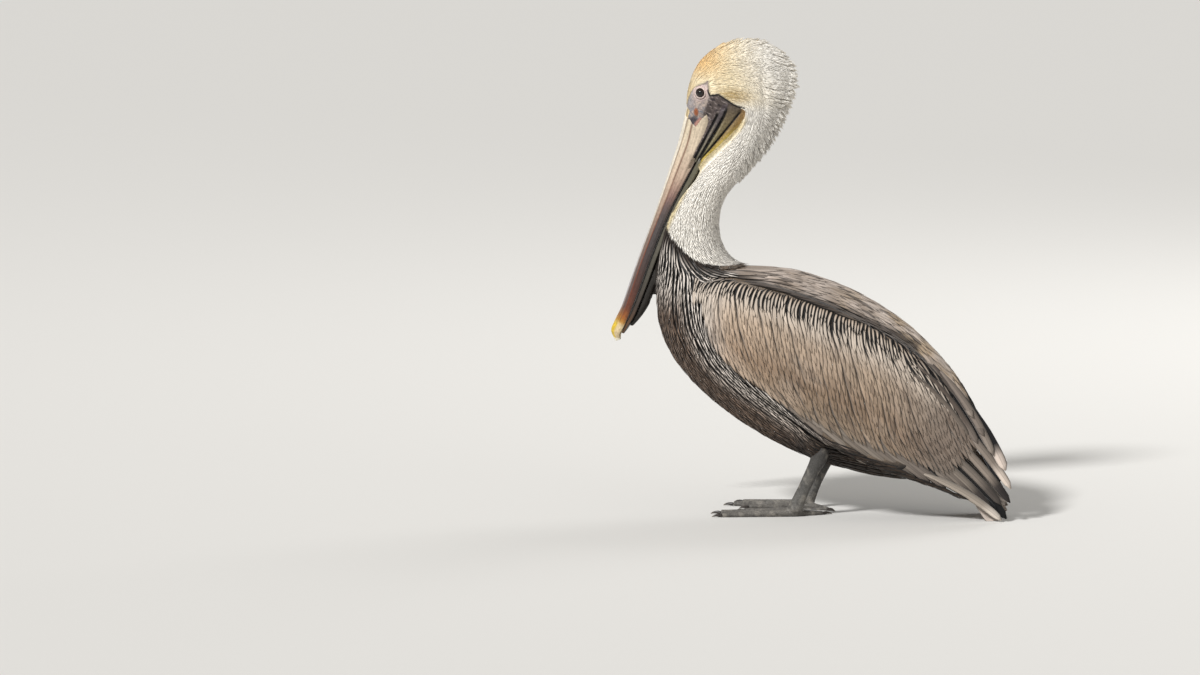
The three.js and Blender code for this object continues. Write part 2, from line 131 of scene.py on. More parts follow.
# The lie of the plumage, region by region: places in side view with the way that feathers point there.
LIE_HEAD = [
    (-140, 548, 0.3, 0.95), (-128, 575, 0.6, 0.8), (-100, 596, 0.9, 0.45), (-70, 604, 1, -0.05),
    (-35, 598, 0.85, -0.45), (-14, 576, 0.85, -0.5), (-8, 552, 0.75, -0.66), (-14, 528, 0.4, -0.9),
    (-120, 560, 0.85, 0.5), (-95, 560, 1, 0.1), (-60, 565, 1, -0.25), (-95, 542, 1, -0.1),
    (-70, 535, 0.95, -0.35), (-50, 540, 0.8, -0.6), (-40, 515, 0.1, -1),
    (-58, 500, -0.25, -0.97), (-45, 480, -0.5, -0.87), (-90, 460, -0.6, -0.8), (-80, 435, -0.55, -0.83),
    (-120, 430, -0.55, -0.83), (-105, 400, -0.3, -0.95), (-140, 400, -0.35, -0.94),
    (-125, 365, 0.1, -1), (-105, 345, 0.45, -0.9), (-150, 370, 0.05, -1), (-100, 330, 0.8, -0.6),
    (-120, 335, 0.55, -0.83),
]
LIE_CREST = [
    (-120, 582, 0.75, 0.65), (-95, 598, 0.9, 0.4), (-70, 604, 0.97, 0.2), (-35, 598, 0.95, -0.25),
    (-14, 576, 0.97, -0.25), (-6, 552, 1, -0.12), (-12, 528, 0.95, -0.3), (-20, 503, 0.75, -0.65),
    (-35, 478, 0.5, -0.87), (-60, 450, 0.3, -0.95), (-85, 415, 0.1, -1),
]
LIE_FRONT = [
    (-172, 350, 0, -1), (-160, 335, 0.2, -1), (-140, 318, 0.6, -0.8), (-120, 310, 0.75, -0.65),
    (-100, 312, 0.9, -0.35), (-178, 310, 0, -1), (-160, 300, 0.08, -1), (-140, 295, 0.2, -1),
    (-180, 270, 0.12, -1), (-155, 260, 0.2, -0.98), (-130, 260, 0.25, -0.96), (-170, 230, 0.35, -0.93),
    (-140, 215, 0.5, -0.87), (-115, 215, 0.45, -0.9), (-120, 170, 0.72, -0.7), (-90, 170, 0.7, -0.7),
    (-75, 130, 0.8, -0.6), (-40, 130, 0.76, -0.65), (-20, 95, 0.85, -0.5), (10, 110, 0.76, -0.65),
    (20, 80, 0.9, -0.45), (60, 65, 1, -0.25), (120, 50, 1, -0.2), (170, 50, 0.9, -0.4),
]
LIE_BACK = [
    (-95, 318, 0.95, -0.1), (-40, 316, 0.97, -0.15), (10, 306, 0.95, -0.3), (60, 288, 0.9, -0.42),
    (110, 262, 0.85, -0.52), (150, 235, 0.75, -0.65), (190, 195, 0.6, -0.8), (215, 155, 0.45, -0.9),
    (235, 110, 0.4, -0.92),
]
LIE_WING = [
    (-118, 308, -0.2, -1), (-97, 308, -0.5, -0.85), (-65, 302, -0.6, -0.8), (-25, 293, -0.6, -0.8),
    (20, 281, -0.55, -0.8), (66, 264, -0.45, -0.9), (99, 251, -0.3, -0.95), (132, 234, -0.05, -1),
    (-122, 296, 0.05, -1), (-97, 296, -0.1, -1), (-65, 290, -0.15, -1), (-25, 279, -0.15, -1),
    (20, 266, -0.1, -1), (66, 249, 0, -1), (99, 236, 0.05, -1), (132, 219, 0.2, -1),
    (-118, 280, 0.2, -0.98), (-105, 280, 0.2, -0.98), (-70, 276, 0.22, -0.97), (-30, 264, 0.25, -0.96),
    (10, 250, 0.28, -0.95), (60, 230, 0.3, -0.95), (100, 214, 0.32, -0.92), (140, 195, 0.38, -0.92),
    (165, 200, 0.55, -0.83), (195, 165, 0.5, -0.87), (-90, 240, 0.3, -0.95), (-50, 230, 0.35, -0.94),
    (0, 190, 0.32, -0.95), (60, 165, 0.24, -0.97), (130, 140, 0.22, -0.97), (180, 135, 0.35, -0.94),
    (215, 130, 0.4, -0.92), (-70, 200, 0.5, -0.87), (-10, 150, 0.62, -0.78), (60, 110, 0.52, -0.85),
    (130, 80, 0.52, -0.85), (190, 75, 0.55, -0.83), (225, 70, 0.5, -0.87), (240, 40, 0.55, -0.83),
]

rng = np.random.default_rng(21)


# ---- Arithmetic ---------------------------------------------------------------------------------

def metres(points):
    return np.asarray(points, float) * MM + [X_ZERO, 0, 0]


def millimetres(points):
    return (np.asarray(points, float) - [X_ZERO, 0, 0]) / MM


def unit(vectors):
    return vectors / np.maximum(np.linalg.norm(vectors, axis=-1, keepdims=True), 1e-9)


def blend(low, high, x):
    """0 up to low, 1 from high on, and a smooth step between them."""
    t = np.clip((x - low) / (high - low), 0, 1)
    return t * t * (3 - 2 * t)


def bell(x, middle, wide):
    """1 at the middle, falling away smoothly on both sides."""
    return np.exp(-(((x - middle) / wide) ** 2))


def side_view(points):
    return np.asarray(points)[:, [0, 2]]


def from_line(points, line):
    """How far each point in side view lies from a line, negative on its right, and how far along it."""
    line = np.asarray(line, float)
    step = np.diff(line, axis=0)
    away = points[:, None] - line[:-1]
    share = np.clip((away * step).sum(-1) / (step * step).sum(-1), 0, 1)
    off = away - share[..., None] * step
    distance = np.linalg.norm(off, axis=-1)
    rows, best = np.arange(len(points)), distance.argmin(1)
    turn = step[best, 0] * off[rows, best, 1] - step[best, 1] * off[rows, best, 0]
    return distance[rows, best] * np.where(turn < 0, -1, 1), (best + share[rows, best]) / len(step)


def gap(points, line):
    """How far each point in side view lies from a line, on either side of it."""
    return np.abs(from_line(points, line)[0])


def within(points, outline):
    """Whether each point in side view is inside a closed outline."""
    outline = np.asarray(outline, float)
    inside = np.zeros(len(points), bool)
    for (x0, z0), (x1, z1) in zip(outline, np.roll(outline, -1, axis=0)):
        crosses = (z0 > points[:, 1]) != (z1 > points[:, 1])
        if z0 != z1:
            inside ^= crosses & (points[:, 0] < (x1 - x0) * (points[:, 1] - z0) / (z1 - z0) + x0)
    return inside


def ripple(points, size, seed):
    """A soft random variation from about -1 to 1, with waves of about that size."""
    dice = np.random.default_rng(seed)
    waves = dice.normal(size=(7, 3)) * 2 * math.pi / size / 1.7
    return np.sin(points @ waves.T + dice.uniform(0, 2 * math.pi, 7)).sum(1) / 3


def linear(code):
    """An sRGB hex colour as linear red, green and blue."""
    parts = [int(code[i:i + 2], 16) / 255 for i in (1, 3, 5)]
    return np.array([c / 12.92 if c <= 0.04045 else ((c + 0.055) / 1.055) ** 2.4 for c in parts])


def shade(under, over, share):
    """Lays one colour over others by a share for each point."""
    return under + (linear(over) - under) * np.asarray(share)[:, None]


def along_scale(t, stops):
    """Colours along a scale of (place, hex) stops."""
    places = [place for place, _ in stops]
    colours = np.array([linear(code) for _, code in stops])
    return np.stack([np.interp(t, places, colours[:, i]) for i in range(3)], axis=1)


def catmull(stations, t):
    """Values along a smooth curve through the stations, for t from 0 to 1."""
    stations = np.asarray(stations, float)
    padded = np.vstack([2 * stations[0] - stations[1], stations, 2 * stations[-1] - stations[-2]])
    place = np.clip(np.asarray(t) * (len(stations) - 1), 0, len(stations) - 1 - 1e-9)
    k = place.astype(int)
    f = (place - k)[:, None]
    a, b, c, d = (padded[k + i] for i in range(4))
    bend, twist = 2 * a - 5 * b + 4 * c - d, 3 * b - a - 3 * c + d
    return 0.5 * (2 * b + (c - a) * f + bend * f**2 + twist * f**3)


# ---- Objects and meshes -------------------------------------------------------------------------

def placed(name, data):
    made = bpy.data.objects.new(name, data)
    bpy.context.scene.collection.objects.link(made)
    return made


def piece(name, mesh, material, nodes=()):
    made = placed(name, mesh)
    mesh.materials.clear()
    mesh.materials.append(material)
    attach(made, "root")
    if nodes:
        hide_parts(*nodes)
    return made


def give(mesh, name, values):
    """An attribute on the points of a mesh: a number or a colour for each."""
    values = np.asarray(values, np.float32)
    if values.ndim == 1:
        mesh.attributes.new(name, "FLOAT", "POINT").data.foreach_set("value", values)
        return
    colours = np.ones((len(values), 4), np.float32)
    colours[:, :3] = values
    mesh.attributes.new(name, "FLOAT_COLOR", "POINT").data.foreach_set("color", colours.ravel())


def read(items, name, kind=np.float32):
    """Three values of each vertex, normal or triangle."""
    values = np.empty(len(items) * 3, kind)
    items.foreach_get(name, values)
    return values.reshape(-1, 3)


def coordinates(mesh):
    return millimetres(read(mesh.vertices, "co"))


def put(mesh, points):
    mesh.vertices.foreach_set("co", metres(points).astype(np.float32).ravel())
    mesh.update()


def normals_of(mesh):
    return read(mesh.vertex_normals, "vector").astype(float)


@contextmanager
def shaping(mesh):
    """Opens a mesh to Blender's modelling operators and takes their work back into it."""
    bm = bmesh.new()
    bm.from_mesh(mesh)
    yield bm
    bm.to_mesh(mesh)
    bm.free()


WELD = 0.01 * MM  # corners nearer than this are one


def tops(above):
    """Copies of CAD solids cut off below a height, closed again, for pairs of name and height."""
    for name, height in above:
        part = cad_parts[name].data.copy()
        with shaping(part) as bm:
            bmesh.ops.remove_doubles(bm, verts=bm.verts, dist=WELD)
            whole = list(bm.verts) + list(bm.edges) + list(bm.faces)
            cut = {"plane_co": (0, 0, height * MM), "plane_no": (0, 0, 1)}
            bmesh.ops.bisect_plane(bm, geom=whole, clear_inner=True, **cut)
            bmesh.ops.holes_fill(bm, edges=[edge for edge in bm.edges if edge.is_boundary])
        yield part


def fused(nodes, voxel, swell, above=()):
    """Copies of CAD solids, swollen over the cuts between them, as one closed mesh."""
    joined = bpy.data.meshes.new("joined")
    with shaping(joined) as bm:
        for part in tops(above):
            bm.from_mesh(part)
            bpy.data.meshes.remove(part)
        for name in nodes:
            bm.from_mesh(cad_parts[name].data)
        bmesh.ops.remove_doubles(bm, verts=bm.verts, dist=WELD)
        bm.normal_update()
        for vert in bm.verts:
            vert.co += vert.normal * swell * MM
    holder = placed("joined", joined)
    remesh = holder.modifiers.new("one_surface", "REMESH")
    remesh.mode = "VOXEL"
    remesh.voxel_size = voxel * MM
    graph = bpy.context.evaluated_depsgraph_get()
    made = bpy.data.meshes.new_from_object(holder.evaluated_get(graph))
    bpy.data.objects.remove(holder)
    bpy.data.meshes.remove(joined)
    return made


def smoothed(mesh, rounds, where=None):
    with shaping(mesh) as bm:
        verts = list(bm.verts)
        if where is not None:
            verts = [verts[i] for i in np.flatnonzero(where)]
        for _ in range(rounds):
            bmesh.ops.smooth_vert(
                bm, verts=verts, factor=0.5, use_axis_x=True, use_axis_y=True, use_axis_z=True,
            )
    mesh.update()


class Surface:
    """A closed mesh to lay feathers on, in millimetres."""

    def __init__(self, mesh):
        mesh.calc_loop_triangles()
        self.triangles = read(mesh.loop_triangles, "vertices", np.int32)
        self.points = coordinates(mesh)
        self.normals = normals_of(mesh)
        self.centres = self.points[self.triangles].mean(1)
        self.facing = unit(self.normals[self.triangles].sum(1))
        self.tree = BVHTree.FromPolygons(self.points.tolist(), self.triangles.tolist())

    def smooth_normal(self, places, hits):
        corners = self.triangles[hits]
        near = 1 / (np.linalg.norm(self.points[corners] - places[:, None], axis=-1) + 0.05)
        return unit((self.normals[corners] * near[..., None]).sum(1))

    def nearest(self, places):
        """The nearest places on the surface, with its smooth normals there."""
        found = [self.tree.find_nearest(place) for place in np.asarray(places).tolist()]
        on = np.array([hit[0][:] for hit in found])
        return on, self.smooth_normal(on, np.array([hit[2] for hit in found]))

    def on_side(self, flat, side):
        """Where points given in side view lie on the left (-1) or right (1) side of the surface."""
        places = []
        for x, z in np.asarray(flat, float).tolist():
            hit = self.tree.ray_cast((x, side * 300, z), (0, -side, 0))[0]
            if hit is None or hit[1] * side < 20:
                hit = self.tree.find_nearest((x, side * 52, z))[0]
            places.append(tuple(hit))
        return self.nearest(places)

    def thickness(self, places, normals):
        """How thick the body is behind each place."""
        found = []
        for place, inward in zip((places - normals * 0.3).tolist(), (-normals).tolist()):
            hit = self.tree.ray_cast(place, inward)
            found.append(hit[3] if hit[3] else 100.0)
        return np.array(found)

    def lanes(self, zone, lie, spacing, reach, step):
        """Evenly spaced lines over a zone of triangles that follow the lie of its feathers.

        Each runs on past the zone for the length of a feather. Returns for each its places, its normals
        and how many of its places are inside the zone.
        """
        ways = laid(combed(self.centres, lie), self.facing).tolist()
        allowed = zone.tolist()
        cells = {}

        def crowded(place, limit):
            i, j, k = (int(c // spacing) for c in place)
            for a, b, c in product((-1, 0, 1), repeat=3):
                others = cells.get((i + a, j + b, k + c), ())
                if any(math.dist(place, other) < limit for other in others):
                    return True
            return False

        def follow(place, hit, direction):
            path, inside = [], None
            extra = round(reach / step) + 1 if direction > 0 else 0
            for _ in range(2000):
                way = ways[hit]
                ahead = [place[a] + way[a] * step * direction for a in range(3)]
                found = self.tree.find_nearest(ahead)
                place, hit = tuple(found[0]), found[2]
                if inside is None and (not allowed[hit] or crowded(place, 0.55 * spacing)):
                    inside = len(path)
                if inside is not None and len(path) - inside >= extra:
                    break
                path.append((place, hit))
            return path, len(path) if inside is None else inside

        area = np.linalg.norm(np.cross(
            self.points[self.triangles[:, 1]] - self.points[self.triangles[:, 0]],
            self.points[self.triangles[:, 2]] - self.points[self.triangles[:, 0]],
        ), axis=1) / 2 * zone
        starts = rng.choice(len(area), int(area.sum() / spacing**2 * 5) + 1, p=area / area.sum())
        corner = rng.dirichlet((1, 1, 1), len(starts))
        places = (self.points[self.triangles[starts]] * corner[..., None]).sum(1)
        made = []
        for start, place in zip(starts.tolist(), places.tolist()):
            if crowded(place, 0.82 * spacing):
                continue
            forward, inside = follow(place, start, 1)
            backward, length = follow(place, start, -1)
            whole = backward[:length][::-1] + [(tuple(place), start)] + forward
            inside += length + 1
            if inside * step < 2.5 * spacing:
                continue
            for at, _ in whole[:inside]:
                cells.setdefault(tuple(int(c // spacing) for c in at), []).append(at)
            line = np.array([at for at, _ in whole])
            made.append((line, self.smooth_normal(line, np.array([hit for _, hit in whole])), inside))
        return made


LIE_NEAR = 40  # how far the nearest of the given places outweighs the rest, in square millimetres


def combed(places, lie):
    """The way that feathers point in side view at each place, between the given ones."""
    lie = np.array(lie, float)
    apart = ((side_view(places)[:, None] - lie[:, :2]) ** 2).sum(-1)
    way = (1 / (apart + LIE_NEAR) ** 2) @ unit(lie[:, 2:])
    return np.column_stack([way[:, 0], np.zeros(len(way)), way[:, 1]])


def laid(way, normals, share=1.0):
    """Turns a way into the surface, wholly or by a share."""
    return unit(way - share * normals * (way * normals).sum(1, keepdims=True))


# ---- Materials ----------------------------------------------------------------------------------

def new_material(name, roughness, **sockets):
    material = bpy.data.materials.new(name)
    material.use_nodes = True
    shader = material.node_tree.nodes["Principled BSDF"]
    for socket, value in {"Roughness": roughness, **sockets}.items():
        shader.inputs[socket.replace("_", " ")].default_value = value
    return material


def node(material, kind, links, output=0, **settings):
    """Adds a node with its settings, links or sets its inputs, and gives back one of its outputs."""
    made = material.node_tree.nodes.new("ShaderNode" + kind)
    for name, value in settings.items():
        setattr(made, name, value)
    for key, value in links.items():
        if isinstance(value, bpy.types.NodeSocket):
            material.node_tree.links.new(value, made.inputs[key])
        else:
            made.inputs[key].default_value = value
    return made.outputs[output]


def drive(material, socket, source):
    shader = material.node_tree.nodes["Principled BSDF"]
    material.node_tree.links.new(source, shader.inputs[socket])


def amount(material, name):
    return node(material, "Attribute", {}, "Fac", attribute_name=name)


def paint(material, name):
    return node(material, "Attribute", {}, "Color", attribute_name=name)


def maths(material, operation, *values):
    return node(material, "Math", dict(enumerate(values)), operation=operation)


def ranged(material, value, start, end, kind="LINEAR"):
    """Moves a value from one range, given by its ends, to another."""
    ends = {"From Min": start[0], "From Max": start[1], "To Min": end[0], "To Max": end[1]}
    return node(material, "MapRange", {"Value": value, **ends}, interpolation_type=kind)


def scaled(material, colour, factor):
    return node(material, "VectorMath", {0: colour, "Scale": factor}, operation="SCALE")


def noise(material, place, scale, detail):
    return node(material, "TexNoise", {"Vector": place, "Scale": scale, "Detail": detail}, "Fac")


def rough(material, height, strength, depth):
    """Bumps of that depth in millimetres."""
    bump = node(material, "Bump", {"Height": height, "Strength": strength, "Distance": depth * MM})
    drive(material, "Normal", bump)


BARB_GAP = 1.1  # real barbs lie 0.3 mm apart, too fine to show
BARB_SLANT = 1.3  # how far forward a barb runs for each millimetre outward


def feather_material(name, shaft=0.0, barb=0.0):
    """Keratin vanes: matt, soft, edged in a second colour, with shaft and barbs on the larger ones."""
    material = new_material(name, 0.72, Specular_IOR_Level=0.25, Sheen_Weight=0.1, Sheen_Roughness=0.5)
    across = maths(material, "ABSOLUTE", amount(material, "across"))
    outer = maths(material, "ADD", across, amount(material, "edging"))
    rim = ranged(material, outer, (0.85, 1.25), (0, 1), "SMOOTHSTEP")
    two = {0: rim, 6: paint(material, "vane"), 7: paint(material, "rim")}
    colour = node(material, "Mix", two, 2, data_type="RGBA")
    if shaft:
        stem = ranged(material, across, (0.02, 0.16), (1 - shaft, 1), "SMOOTHSTEP")
        colour = scaled(material, colour, stem)
    if barb:
        out = maths(material, "ABSOLUTE", amount(material, "spread"))
        slant = maths(material, "MULTIPLY_ADD", out, -BARB_SLANT, amount(material, "reach"))
        barbs = maths(material, "SINE", maths(material, "MULTIPLY", slant, 2 * math.pi / BARB_GAP))
        colour = scaled(material, colour, ranged(material, barbs, (-1, 1), (1 - barb, 1 + barb)))
        rough(material, barbs, 0.15, 0.2)
    drive(material, "Base Color", colour)
    return material


SPECK = 1.6  # across the specks of the face's skin
SCALE = 2.4  # across the scales of the legs and toes


def skin_material():
    """Bare skin: leathery, faintly speckled, with a fine grain that turns to scales on the legs."""
    material = new_material("bare_skin", 0.5, Specular_IOR_Level=0.4)
    place = node(material, "TexCoord", {}, "Object")
    specks = noise(material, place, 1 / (SPECK * MM), 3)
    light = ranged(material, specks, (0.35, 0.68), (0.72, 1.3))
    drive(material, "Base Color", scaled(material, paint(material, "tint"), light))
    scales = {"Vector": place, "Scale": 1 / (SCALE * MM)}
    scales = node(material, "TexVoronoi", scales, "Distance", feature="DISTANCE_TO_EDGE")
    plates = ranged(material, scales, (0, 0.12), (0, 1))
    grain = node(material, "Mix", {0: amount(material, "scaly"), 2: specks, 3: plates})
    rough(material, grain, 0.5, 0.5)
    return material


def horn_material():
    """Bill horn: a hard satin sheath, streaked lengthwise, with worn flecks 3 mm across."""
    material = new_material("bill_horn", 0.42, Specular_IOR_Level=0.5)
    place = node(material, "TexCoord", {}, "Object")
    streak = node(material, "CombineXYZ", {0: amount(material, "across"), 1: amount(material, "along")})
    flecks = noise(material, place, 1 / (3 * MM), 4)
    worn = maths(material, "ADD", noise(material, streak, 14, 4), flecks)
    light = ranged(material, worn, (0.75, 1.25), (0.75, 1.2))
    drive(material, "Base Color", scaled(material, paint(material, "tint"), light))
    rough(material, worn, 0.3, 0.4)
    return material


def eye_material():
    """The wet front of the eye: a clear gloss over a dark brown iris and a black pupil."""
    gloss = {"Specular_IOR_Level": 0.3, "Coat_Weight": 0.5, "Coat_Roughness": 0.03}
    material = new_material("wet_eye", 0.12, **gloss)
    drive(material, "Base Color", paint(material, "tint"))
    return material


def claw_material():
    """Claw horn: dark, satin, in worn patches 2 mm across."""
    material = new_material("claw_horn", 0.38, Specular_IOR_Level=0.5)
    wear = noise(material, node(material, "TexCoord", {}, "Object"), 1 / (2 * MM), 3)
    light = ranged(material, wear, (0.3, 0.7), (0.7, 1.35))
    drive(material, "Base Color", scaled(material, paint(material, "tint"), light))
    rough(material, wear, 0.3, 0.3)
    return material


# ---- Camera, light and floor --------------------------------------------------------------------

AZIMUTH, ELEVATION = math.radians(12), math.radians(6.5)
CAMERA_AWAY = 11.0  # metres, from a spot in front of the ankles and above them
LOOK_LEFT, LOOK_UP = 0.256, 0.2234  # where that spot is, seen from the camera
VIEW_WIDTH = 1.536  # metres across the frame at the bird
SENSOR = 36.0
SUN_WAY, SUN_POWER, SUN_SPREAD = (0.36, 0.7, -0.62), 3.35, math.radians(9)
SKY_STRENGTH = 0.42
LAMPS = {"fill": ((2.8, -2.4, 1.4), 2.5, 8), "rim": ((1.2, 2.6, 2.2), 1.5, 30)}  # place, size, power
BIRD_MIDDLE = (0, 0, 0.3)
FLOOR_HALF = 40  # metres


def facing(way):
    return Vector(way).to_track_quat("-Z", "Y").to_euler()


def set_camera():
    """A long lens, from the bird's left, a little behind it and above."""
    flat = math.cos(ELEVATION)
    ahead = Vector((-math.sin(AZIMUTH) * flat, math.cos(AZIMUTH) * flat, -math.sin(ELEVATION)))
    right = Vector((math.cos(AZIMUTH), math.sin(AZIMUTH), 0))
    up = right.cross(ahead)
    camera = placed("camera", bpy.data.cameras.new("camera"))
    camera.data.sensor_width = SENSOR
    camera.data.lens = SENSOR * CAMERA_AWAY / VIEW_WIDTH
    camera.data.clip_end = 100
    camera.location = Vector(metres([0, 0, 0])) - right * LOOK_LEFT + up * LOOK_UP - ahead * CAMERA_AWAY
    camera.rotation_euler = facing(ahead)
    bpy.context.scene.camera = camera


def set_floor():
    """A pale matt floor that runs to the horizon."""
    mesh = bpy.data.meshes.new("floor")
    with shaping(mesh) as bm:
        bmesh.ops.create_grid(bm, x_segments=2, y_segments=2, size=FLOOR_HALF)
    mesh.materials.append(new_material("matt_floor_paint", 0.9, Base_Color=(*linear("#dcdad6"), 1)))
    placed("floor", mesh)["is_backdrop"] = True


def set_light():
    """Soft sunlight from ahead, left and above, an even sky, and lamps by the camera and beyond."""
    bpy.context.scene.view_settings.view_transform = "Standard"
    world = bpy.data.worlds.new("studio")
    bpy.context.scene.world = world
    world.use_nodes = True
    sky = world.node_tree.nodes["Background"]
    sky.inputs["Color"].default_value = (*linear("#e6e5e2"), 1)
    sky.inputs["Strength"].default_value = SKY_STRENGTH
    sun = placed("key", bpy.data.lights.new("key", "SUN"))
    sun.data.energy = SUN_POWER
    sun.data.angle = SUN_SPREAD
    sun.rotation_euler = facing(SUN_WAY)
    for name, (place, size, power) in LAMPS.items():
        lamp = placed(name, bpy.data.lights.new(name, "AREA"))
        lamp.data.energy = power
        lamp.data.size = size
        lamp.location = place
        lamp.rotation_euler = facing(Vector(BIRD_MIDDLE) - Vector(place))


# ---- Skin ---------------------------------------------------------------------------------------

def bare_face(points):
    """Whether each point is on the bare skin of the face or pouch."""
    on_face = within(side_view(points), BARE_FACE)
    forehead = (np.abs(points[:, 1]) < FOREHEAD_HALF) & (points[:, 2] > 500)
    return on_face & ~forehead


def nearest_node(points, nodes):
    """Which of those CAD nodes lies nearest to each point."""
    trees = []
    for name in nodes:
        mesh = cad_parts[name].data
        mesh.calc_loop_triangles()
        corners = [tuple(t.vertices) for t in mesh.loop_triangles]
        trees.append(BVHTree.FromPolygons(coordinates(mesh).tolist(), corners))
    gaps = np.array([[tree.find_nearest(point)[3] for point in points.tolist()] for tree in trees])
    return gaps.argmin(0)


BILL_TOPS = (("bill_upper", 448), ("bill_lower", 440))  # how far down the bill's solids it reaches
FACE_LOW = 436  # height of the lowest bare skin that is modelled finely
HEAD_LOW = 330  # height above which folds and wrinkles are cut
LEG_TOP = 92
# Each fold of the bare skin with how deep and how wide it is.
FOLD_CUTS = ((MOUTH, 2.4, 1.2), (FOLDS[0], 2.8, 1.5), (FOLDS[1], 2.4, 1.1))


def finer_face(mesh):
    """Doubles the mesh on the sides of the face, where the lids and folds are."""
    with shaping(mesh) as bm:
        near = set()
        for vert, (x, y, z) in zip(bm.verts, coordinates(mesh).tolist()):
            if z > FACE_LOW and x < 0.55 * (z - FACE_LOW) - 122 and abs(y) > 5:
                near.add(vert)
        edges = [edge for edge in bm.edges if edge.verts[0] in near and edge.verts[1] in near]
        bmesh.ops.subdivide_edges(bm, edges=edges, cuts=1, use_grid_fill=True)
    points = coordinates(mesh)
    smoothed(mesh, 2, (points[:, 2] > FACE_LOW) & (points[:, 0] < -60))


def on_legs(points):
    """Whether each point is on the bare skin of a leg or foot."""
    bare = ["leg_left", "leg_right", "foot_left", "foot_right"]
    clad = ["thigh_left", "thigh_right", "trunk", "wing_left", "wing_right"]
    low = points[:, 2] < LEG_TOP
    leg = np.zeros(len(points), bool)
    leg[low] = nearest_node(points[low], bare + clad) < len(bare)
    return leg


def skin_depth(mesh, points, leg):
    """How deep the skin lies in the solids: bare at their surface, elsewhere under its plumage."""
    flat = side_view(points)
    thick = Surface(mesh).thickness(points, normals_of(mesh))
    depth = np.minimum(coat_depth(points), 0.3 * thick)
    depth[leg] = 0
    depth[bare_face(points)] = 0.1
    # It goes under the horn of the bill's upper half, and under that of the lower half at its base.
    horn = within(flat, HORN_AREA) & (points[:, 2] > HORN_LOW)
    depth = np.where(horn, 1.8 * blend(0, 1.6, gap(flat, HORN_EDGE)), depth)
    base = (flat[:, 1] > 432) & (flat[:, 1] < 458) & (from_line(flat, MOUTH)[0] > -5)
    base &= ~horn & (from_line(flat, FOLDS[0])[0] < 0.5)
    return np.where(base, 2.8 * blend(458, 450, flat[:, 1]), depth)


def bowed_terms(places):
    """The terms of a gently bowed surface over places in side view."""
    x, z = places.T
    return np.column_stack([np.ones(len(places)), places, x**2, z**2, x * z])


def with_lids(points, outside):
    """How far out the skin lies once each eye has its lids, in a level that fits the face round it."""
    near = side_view(points) - EYE
    ring = np.linalg.norm(near, axis=1)
    around = (ring < 17) & (outside > 10)
    fit = around & (ring > 10.5)
    bow = np.linalg.lstsq(bowed_terms(near[fit]), outside[fit], rcond=None)[0]
    level = bowed_terms(near[around]) @ bow
    d = ring[around]
    below = blend(-2, -7, near[around][:, 1])
    lid = 1.5 * bell(d, 6.6, 0.75) + (0.5 + 0.5 * below) * bell(d, 9.6, 0.9)
    groove = (0.35 + 0.6 * below) * bell(d, 8.1, 0.6)
    socket = 6 * blend(6.0, 4.9, d)
    keep = blend(11, 15, d)
    made = outside.copy()
    made[around] = (level + lid - groove - socket) * (1 - keep) + outside[around] * keep
    return made


def with_folds(points, outside):
    """How far out the skin lies with its folds, wrinkles and the raised edge of the bare face."""
    flat = side_view(points)
    high = points[:, 2] > HEAD_LOW
    for line, depth, wide in FOLD_CUTS:
        away, share = from_line(flat, line)
        cut = depth * bell(away, 0, wide) * blend(0, 0.08, share)
        outside = np.where(high & (outside > 4), outside - cut, outside)
    bare = high & bare_face(points) & (outside > 6)
    along_pouch = blend(-118, -100, flat[:, 0] + 0.5 * (500 - flat[:, 1]))
    wrinkle = ripple(points * [1, 1, 0.4], 5, 3) * 0.25
    wrinkle += ripple(points * [2.2, 0.2, 1.2], 6, 4) * 0.3 * along_pouch
    outside[bare] += wrinkle[bare]
    edge = gap(flat, FACE_EDGE)
    rim = high & (outside > 8) & (edge < 2.2)
    outside[rim] += 0.5 * (1 - edge[rim] / 2.2)
    return outside


def make_skin(material):
    """One skin from the face to the toes, modelled where it is bare and plain under the feathers."""
    mesh = fused(FLESH, 1.5, 0.25, BILL_TOPS)
    smoothed(mesh, 2)
    finer_face(mesh)
    points = coordinates(mesh)
    leg = on_legs(points)
    bare = leg | bare_face(points)
    put(mesh, points - normals_of(mesh) * skin_depth(mesh, points, leg)[:, None])
    smoothed(mesh, 3, ~bare)

    points = coordinates(mesh)
    outside = with_folds(points, with_lids(points, np.abs(points[:, 1])))
    points[:, 1] = np.sign(points[:, 1]) * outside
    put(mesh, points)
    give(mesh, "tint", skin_colours(points, leg))
    give(mesh, "scaly", leg.astype(float))
    made = piece("skin", mesh, material, FLESH)
    plain = made.vertex_groups.new(name="plain")
    plain.add(np.flatnonzero(bare).tolist(), 0.0, "REPLACE")
    plain.add(np.flatnonzero(~bare).tolist(), 1.0, "REPLACE")
    thin = made.modifiers.new("thin_out", "DECIMATE")
    thin.ratio = 0.5
    thin.vertex_group = "plain"
    mesh.shade_smooth()


